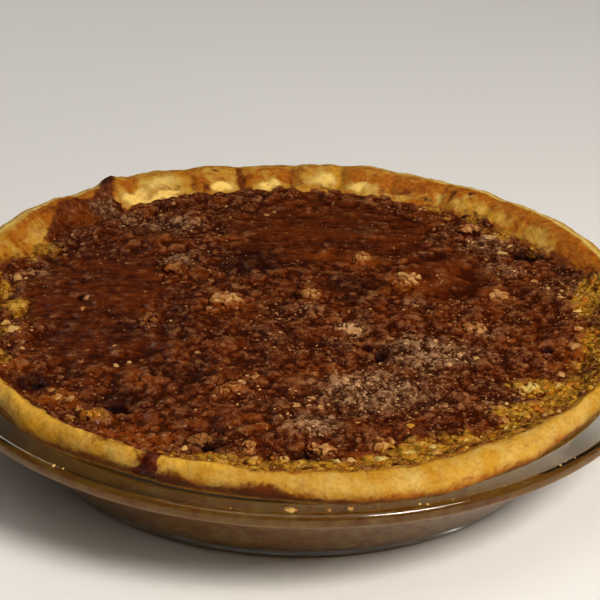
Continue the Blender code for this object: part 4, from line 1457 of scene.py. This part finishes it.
# ================================================================ scattered bits
def broken_bit(seed, fineness, draw):
    """One chopped bit of nut: a small ball made uneven and cut flat where it broke.

    The finest ones are cracked, knobbly pieces."""
    bit = new_ball(fineness)
    places = corners(bit)
    swell = 1 + 0.5 * noise_over(places, 0.9, seed * 3.1)
    if fineness > 2:
        swell += 0.45 * np.abs(noise_over(places, 0.45, seed * 1.7)) - 0.1
    move_corners(bit, places * swell[:, None])
    open_mesh(bit)
    for _ in range(3 if fineness > 1 else 1):
        facing = Vector(draw.normal(0, 1, 3)).normalized()
        bpy.ops.mesh.select_all(action="SELECT")
        bpy.ops.mesh.bisect(plane_co=facing * draw.uniform(0.5, 0.75), plane_no=facing,
                            use_fill=True, clear_outer=True)
    bpy.ops.mesh.select_all(action="SELECT")
    bpy.ops.mesh.quads_convert_to_tris()
    close_mesh()
    return taken_shape(bit)


def lay_down(name, shapes, laid, material, angle=50):
    """Joins copies of the shapes, each (shape, place, facing, sizes, spin, tone), in one mesh."""
    points, faces, tones, raised, middles, count = [], [], [], [], [], 0
    for which, place, facing, (half, high), turn, tone in laid:
        shape, sides = shapes[which]
        stand = facing.to_track_quat("Z", "Y").to_matrix() @ turn.to_3x3()
        placed = shape @ np.array(stand).T
        up = np.array(facing)
        along = placed @ up
        points.append(placed * half + np.outer(along * (high - half), up) + np.array(place))
        faces.append(sides + count)
        tones.append(np.full(len(shape), tone))
        raised.append(along)
        middles.append(np.repeat(np.array([place[:2]]), len(shape), axis=0))
        count += len(shape)
    mesh = bpy.data.meshes.new(name)
    mesh.from_pydata(np.concatenate(points), [], np.concatenate(faces))
    piece = bpy.data.objects.new(name, mesh)
    bpy.context.scene.collection.objects.link(piece)
    mark(piece, "tone", np.concatenate(tones))
    mark(piece, "raised", np.concatenate(raised))
    mark_zones(piece, *np.concatenate(middles).T)
    finish_piece(piece, material, angle)


def random_turn(draw):
    turn = Matrix.Rotation(draw.uniform(0, 2 * math.pi), 3, "Z")
    turn @= Matrix.Rotation(draw.uniform(0, math.pi), 3, "X")
    return turn @ Matrix.Rotation(draw.uniform(0, 2 * math.pi), 3, "Y")


# No nut bit lies further out than this
BITS_REACH = 0.1145


def crowd_at(x, y, walnuts):
    """How thickly nut bits lie, from 0 to 1: thick in the mealy patches and at the edge."""
    flat = level(x, y)
    radius, azimuth = np.hypot(x, y), np.arctan2(y, x)
    crowd = 0.30 + 0.75 * patchy(x, y, MEALY_PATCHES) - 0.25 * patchy(x, y, DUSKY_PATCHES)
    crowd += 0.20 * hill(azimuth, at(-50), 1.2) * ease(radius, 0.0, 0.05)
    crowd += 0.35 * ease(radius, 0.080, 0.096) + 0.5 * golden_at(x, y)
    for a, b in walnuts:
        crowd += 0.7 * np.exp(-(((x - a) ** 2 + (y - b) ** 2) / (6.5 * MM) ** 2))
    crowd += 0.5 * noise_over(flat, 22 * MM, 3.3) + 0.4 * noise_over(flat, 8 * MM, 1.0)
    crowd *= 1 - 0.9 * still_at(x, y)
    for a, b, wide, _ in PITS:
        crowd[np.hypot(x / MM - a, y / MM - b) < 0.85 * wide] = 0
    first, last, soft = SMEAR
    film = arc(azimuth, first - 1, last + 1, soft) * ease(radius, 0.099, 0.101)
    return np.clip(crowd, 0, 1) * (1 - film) * (radius < spill_edge(azimuth) - 0.8 * MM)


def make_bits(materials, surfaces, walnuts, draw):
    chopped = [broken_bit(seed, 2, draw) for seed in range(7)]
    crumbs = [broken_bit(seed + 20, 1, draw) for seed in range(9)]

    def spots(count, least):
        """Random places on the surface, chosen by how thickly bits lie there."""
        tries = 12 * count
        turn = draw.uniform(-math.pi, math.pi, tries)
        reach = BITS_REACH * np.sqrt(draw.random(tries))
        x, y = reach * np.cos(turn), reach * np.sin(turn)
        crowd = crowd_at(x, y, walnuts)
        kept = draw.random(tries) < crowd + least * (crowd > 0)
        return list(zip(x[kept].tolist(), y[kept].tolist()))[:count]

    def pale_at(x, y):
        """How pale a bit is: most are brown, a few nearly white."""
        mealy = float(patchy(np.array([x]), np.array([y]), MEALY_PATCHES)[0])
        zone = 0.30 * noise.noise((x * 60, y * 60, 8.0)) + 0.22 * mealy
        rare = 0.5 if draw.random() < 0.02 + 0.10 * mealy else 0.0
        return 0.05 + 0.62 * draw.random() ** 1.7 + zone + rare

    def lay(x, y, size, tone, sink, kinds):
        found, facing = top_at(surfaces, x, y)
        facing = (facing + Vector((0, 0, 1.5))).normalized()
        high = size * draw.uniform(0.5, 0.85)
        place = found - facing * high * sink
        return (draw.integers(len(kinds)), place, facing, (size, high), random_turn(draw), tone)

    knobbly = [broken_bit(seed + 70, 3, draw) for seed in range(5)]
    large = [lay(x * MM, y * MM, 0.9 * size * MM, 0.8 * tone, 0.45, knobbly)
             for x, y, size, tone in SET_BITS]
    lay_down("large_bits", knobbly, large, materials["walnut"], 60)
    nuts = []
    for x, y in spots(600, 0.0):
        size = (0.75 + 0.75 * draw.random() ** 2.0) * MM
        nuts.append(lay(x, y, size, pale_at(x, y), draw.uniform(0.1, 0.6), chopped))
    pale_crumbs = []
    for x, y in spots(4300, 0.04):
        size = (0.34 + 0.50 * draw.random() ** 1.6) * MM
        pale_crumbs.append(lay(x, y, size, pale_at(x, y), draw.uniform(0.0, 0.5), crumbs))
    dark_crumbs = []
    for x, y in spots(4300, 0.06):
        size = (0.28 + 0.35 * draw.random() ** 1.6) * MM
        dark_crumbs.append(lay(x, y, size, 0.7 * pale_at(x, y), draw.uniform(0.0, 0.5), crumbs))
    lay_down("chopped_nuts", chopped, nuts, materials["nut"], 40)
    lay_down("nut_crumbs", crumbs, pale_crumbs, materials["nut"], 40)
    lay_down("chocolate_crumbs", crumbs, dark_crumbs, materials["crumb"], 40)


def make_syrup(material, surfaces, draw):
    """Sugar bubbles set along the golden parts of the edge, a few of them large."""
    ball, faces = taken_shape(new_ball(2))
    shapes = [(ball * (1 + 0.45 * noise_over(ball, 1.1, 40 + seed))[:, None], faces)
              for seed in range(4)]
    laid = []
    for a, b, long, wide, share in GOLD_PATCHES:
        for _ in range(int(long * wide * share * 0.3)):
            x, y = a + 0.5 * long * draw.normal(), b + 0.5 * wide * draw.normal()
            x, y = x * MM, y * MM
            if math.hypot(x, y) > spill_edge(math.atan2(y, x)) + 0.3 * MM:
                continue
            found, facing = top_at(surfaces, x, y)
            size = (0.5 + 1.1 * draw.random() ** 2.5) * MM
            facing = (facing + Vector((0, 0, 1))).normalized()
            high = size * draw.uniform(0.4, 0.7)
            laid.append((draw.integers(4), found - facing * high * 0.35, facing, (size, high),
                         random_turn(draw), 0.8 * draw.random()))
    lay_down("syrup_bubbles", shapes, laid, material, 80)


# ================================================================ drip and crumbs
DRIP_COLUMNS, DRIP_ROWS = 18, 60
# Its course, as (radius, height): inner edge, top of the rim, its outside, the flange
DRIP_COURSE = ((0.1005, 0.0425), (0.1035, 0.0445), (0.107, 0.0470), (0.112, 0.0480),
               (0.1165, 0.0465), (0.1195, 0.0430), (0.1188, 0.0395), (0.1185, 0.0380))
# Shares of its length, with its middle's azimuth and its half width there, in degrees
DRIP_MIDDLE = ((0, 0.35, 0.7, 1), (-110.9, -110.8, -111.4, -112.0))
DRIP_HALF_WIDTH = ((0, 0.2, 0.4, 0.6, 0.85, 1), (2.1, 1.4, 1.1, 1.4, 2.4, 2.6))


def make_drip(material, crust):
    """Chocolate that boiled over the rim at the front left and ran down to the flange."""
    clear_choice()
    bpy.ops.mesh.primitive_grid_add(x_subdivisions=DRIP_COLUMNS, y_subdivisions=DRIP_ROWS,
                                    size=2)
    drip = bpy.context.object
    drip.name = drip.data.name = "chocolate_drip"
    flat = corners(drip)
    across, along = flat[:, 0], (flat[:, 1] + 1) / 2
    knots = np.linspace(0, 1, len(DRIP_COURSE))
    radius = np.interp(along, knots, [point[0] for point in DRIP_COURSE])
    height = np.interp(along, knots, [point[1] for point in DRIP_COURSE])
    middle, half = np.interp(along, *DRIP_MIDDLE), np.interp(along, *DRIP_HALF_WIDTH)
    wobble = noise_over(level(along * 4, across * 0.0), 1.0, 2.7)
    sides = noise_over(level(along * 7, across * 1.5), 1.0, 8.1)
    azimuth = np.radians(middle + half * (across * (1 + 0.5 * sides) + 0.45 * wobble))
    move_corners(drip, np.stack([radius * np.cos(azimuth), radius * np.sin(azimuth), height],
                                axis=1))
    choose(drip)
    wrap = drip.modifiers.new("Wrap", "SHRINKWRAP")
    wrap.target = crust
    wrap.wrap_method = "NEAREST_SURFACEPOINT"
    wrap.wrap_mode = "ABOVE_SURFACE"
    wrap.offset = -0.15 * MM
    bpy.ops.object.modifier_apply(modifier=wrap.name)
    face_outwards(drip)
    # Thickest along its middle, and sunk in the crust at its edges
    thick = np.clip(1 - across ** 2, 0, 1) ** 0.6
    thick *= ease(along, 0.0, 0.06) * (1 - ease(along, 0.95, 1.0))
    normals, places = corner_normals(drip), corners(drip)
    out = places / np.linalg.norm(places[:, :2], axis=1)[:, None]
    facing = np.sign((normals * (out * (1, 1, 0) + (0, 0, 1))).sum(axis=1).mean())
    swell = (0.45 * MM + 0.3 * MM * noise_over(flat, 0.4, 6.0)) * thick
    move_corners(drip, places + normals * facing * swell[:, None])
    give_body(drip, 0.5 * MM, -1.0 * facing)
    face_outwards(drip)
    finish_piece(drip, material, 60)


# Crumbs and flakes on the flange, from the photo: (radius mm, azimuth, half length mm, tone)
FLANGE_CRUMBS = ((120.4, -90.0, 1.7, 0.45), (119.5, -89.0, 0.7, 0.7), (119.6, -84.3, 0.8, 0.6),
                 (119.4, -81.2, 1.0, 0.4), (120.6, -71.4, 0.6, 0.2), (121.2, -70.4, 0.5, 0.1),
                 (121.0, -66.5, 0.35, 0.15), (119.8, -86.6, 0.4, 0.8), (121.6, -125.4, 0.6, 0.1),
                 (121.2, -123.9, 0.4, 0.3), (121.4, -47.6, 0.45, 0.1), (121.0, -46.2, 0.35, 0.2),
                 (121.5, -44.4, 0.3, 0.1), (120.9, -58.0, 0.3, 0.3), (120.8, -98.0, 0.35, 0.5),
                 (121.0, 64.0, 0.7, 0.4), (120.7, 152.0, 0.6, 0.6), (121.1, 101.0, 0.8, 0.3))


def make_crumbs(material, dish, draw):
    below = surfaces_of(dish)
    shapes = [broken_bit(seed + 50, 2, draw) for seed in range(4)]
    laid = []
    for radius, azimuth, half, tone in FLANGE_CRUMBS:
        x, y = radius * MM * math.cos(at(azimuth)), radius * MM * math.sin(at(azimuth))
        found, facing = top_at(below, x, y)
        high = half * MM * 0.55
        place = found + facing * high * 0.6
        laid.append((draw.integers(4), place, facing, (half * MM, high), random_turn(draw), tone))
    lay_down("crust_crumbs", shapes, laid, material, 40)


# ================================================================ floor, light and camera
CAMERA_DISTANCE = 0.75
CAMERA_ELEVATION = at(30.066)
CAMERA_ROLL = at(1.863)
CAMERA_LENS = 129.24
CAMERA_AIM = Vector((0.0017, 0.0, 0.0450))
LIGHT_AIM = (0, 0, 0.04)
# Each light: name, azimuth, elevation, distance, size, power, colour
LIGHTS = (("key", -52, 46, 1.1, 0.34, 8.6, (1.0, 0.95, 0.87)),
          ("window", -38, 46, 1.1, 0.22, 1.3, (1.0, 0.95, 0.88)),
          ("glint", -4, 45, 1.1, 0.07, 0.15, (1.0, 0.97, 0.92)),
          ("back", 122, 40, 1.2, 0.4, 1.5, (1.0, 0.97, 0.93)),
          ("overhead", -100, 76, 1.5, 1.2, 4.2, (1.0, 0.96, 0.91)))
SKY, SKY_POWER = (1.0, 0.97, 0.93, 1), 0.07


def make_floor():
    clear_choice()
    bpy.ops.mesh.primitive_plane_add(size=8)
    floor = bpy.context.object
    floor.name = "floor"
    made, tree, shader, place = new_finish("pale_floor", Roughness=0.75)
    tint = soft_noise(tree, place, 6.0, 2.0, 0.5)
    paint(tree, shader, mix_colour(tree, tint, *FLOOR_TINTS))
    floor.data.materials.append(made)


def aimed(place, target):
    return (Vector(target) - Vector(place)).to_track_quat("-Z", "Y")


def make_light(name, azimuth, elevation, distance, size, power, colour):
    around, up = at(azimuth), at(elevation)
    place = Vector((distance * math.cos(up) * math.cos(around),
                    distance * math.cos(up) * math.sin(around), distance * math.sin(up)))
    bpy.ops.object.light_add(type="AREA", location=place,
                             rotation=aimed(place, LIGHT_AIM).to_euler())
    light = bpy.context.object
    light.name = name
    light.data.shape = "DISK"
    light.data.size = size
    light.data.energy = power
    light.data.color = colour


def make_camera():
    place = Vector((0, -CAMERA_DISTANCE * math.cos(CAMERA_ELEVATION),
                    CAMERA_DISTANCE * math.sin(CAMERA_ELEVATION)))
    turn = aimed(place, CAMERA_AIM).to_matrix() @ Matrix.Rotation(CAMERA_ROLL, 3, "Z")
    bpy.ops.object.camera_add(location=place, rotation=turn.to_euler())
    camera = bpy.context.object
    camera.data.lens = CAMERA_LENS
    camera.data.sensor_width = 36.0
    camera.data.clip_start = 0.01
    bpy.context.scene.camera = camera


def make_studio():
    make_floor()
    world = bpy.data.worlds.new("studio")
    world.use_nodes = True
    bpy.context.scene.world = world
    sky = world.node_tree.nodes["Background"]
    sky.inputs["Color"].default_value = SKY
    sky.inputs["Strength"].default_value = SKY_POWER
    for light in LIGHTS:
        make_light(*light)
    bpy.context.scene.view_settings.view_transform = "Standard"
    bpy.context.scene.view_settings.look = "Medium High Contrast"
    make_camera()


# ================================================================ the tart
def main():
    draw = np.random.default_rng(SEED)
    clear_choice()
    make_studio()
    pastry, filled = pastry_finish(), filling_finish()
    nut = nut_finish("toasted_walnut", WALNUT, PALE_NUT, (0.05, 0.85))
    bits = {"walnut": nut_finish("walnut_crumb", WALNUT, PALE_NUT, (-0.3, 0.5)),
            "nut": nut_finish("chopped_walnut", NUT, PALE_NUT, (-0.2, 0.6)),
            "crumb": nut_finish("chocolate_crumb", RED_NUT, NUT, (-0.4, 0.3))}
    dish = make_dish(glass_finish())
    crust = make_crust(pastry)
    filling = make_filling(filled, draw)
    spill = make_spill(filled, crust, filling, draw)
    walnuts = make_walnuts(nut)
    make_bits(bits, surfaces_of(filling, spill), walnuts, draw)
    make_syrup(syrup_finish(), surfaces_of(crust, filling, spill), draw)
    make_drip(drip_finish(), crust)
    make_crumbs(crumb_finish(), dish, draw)


main()
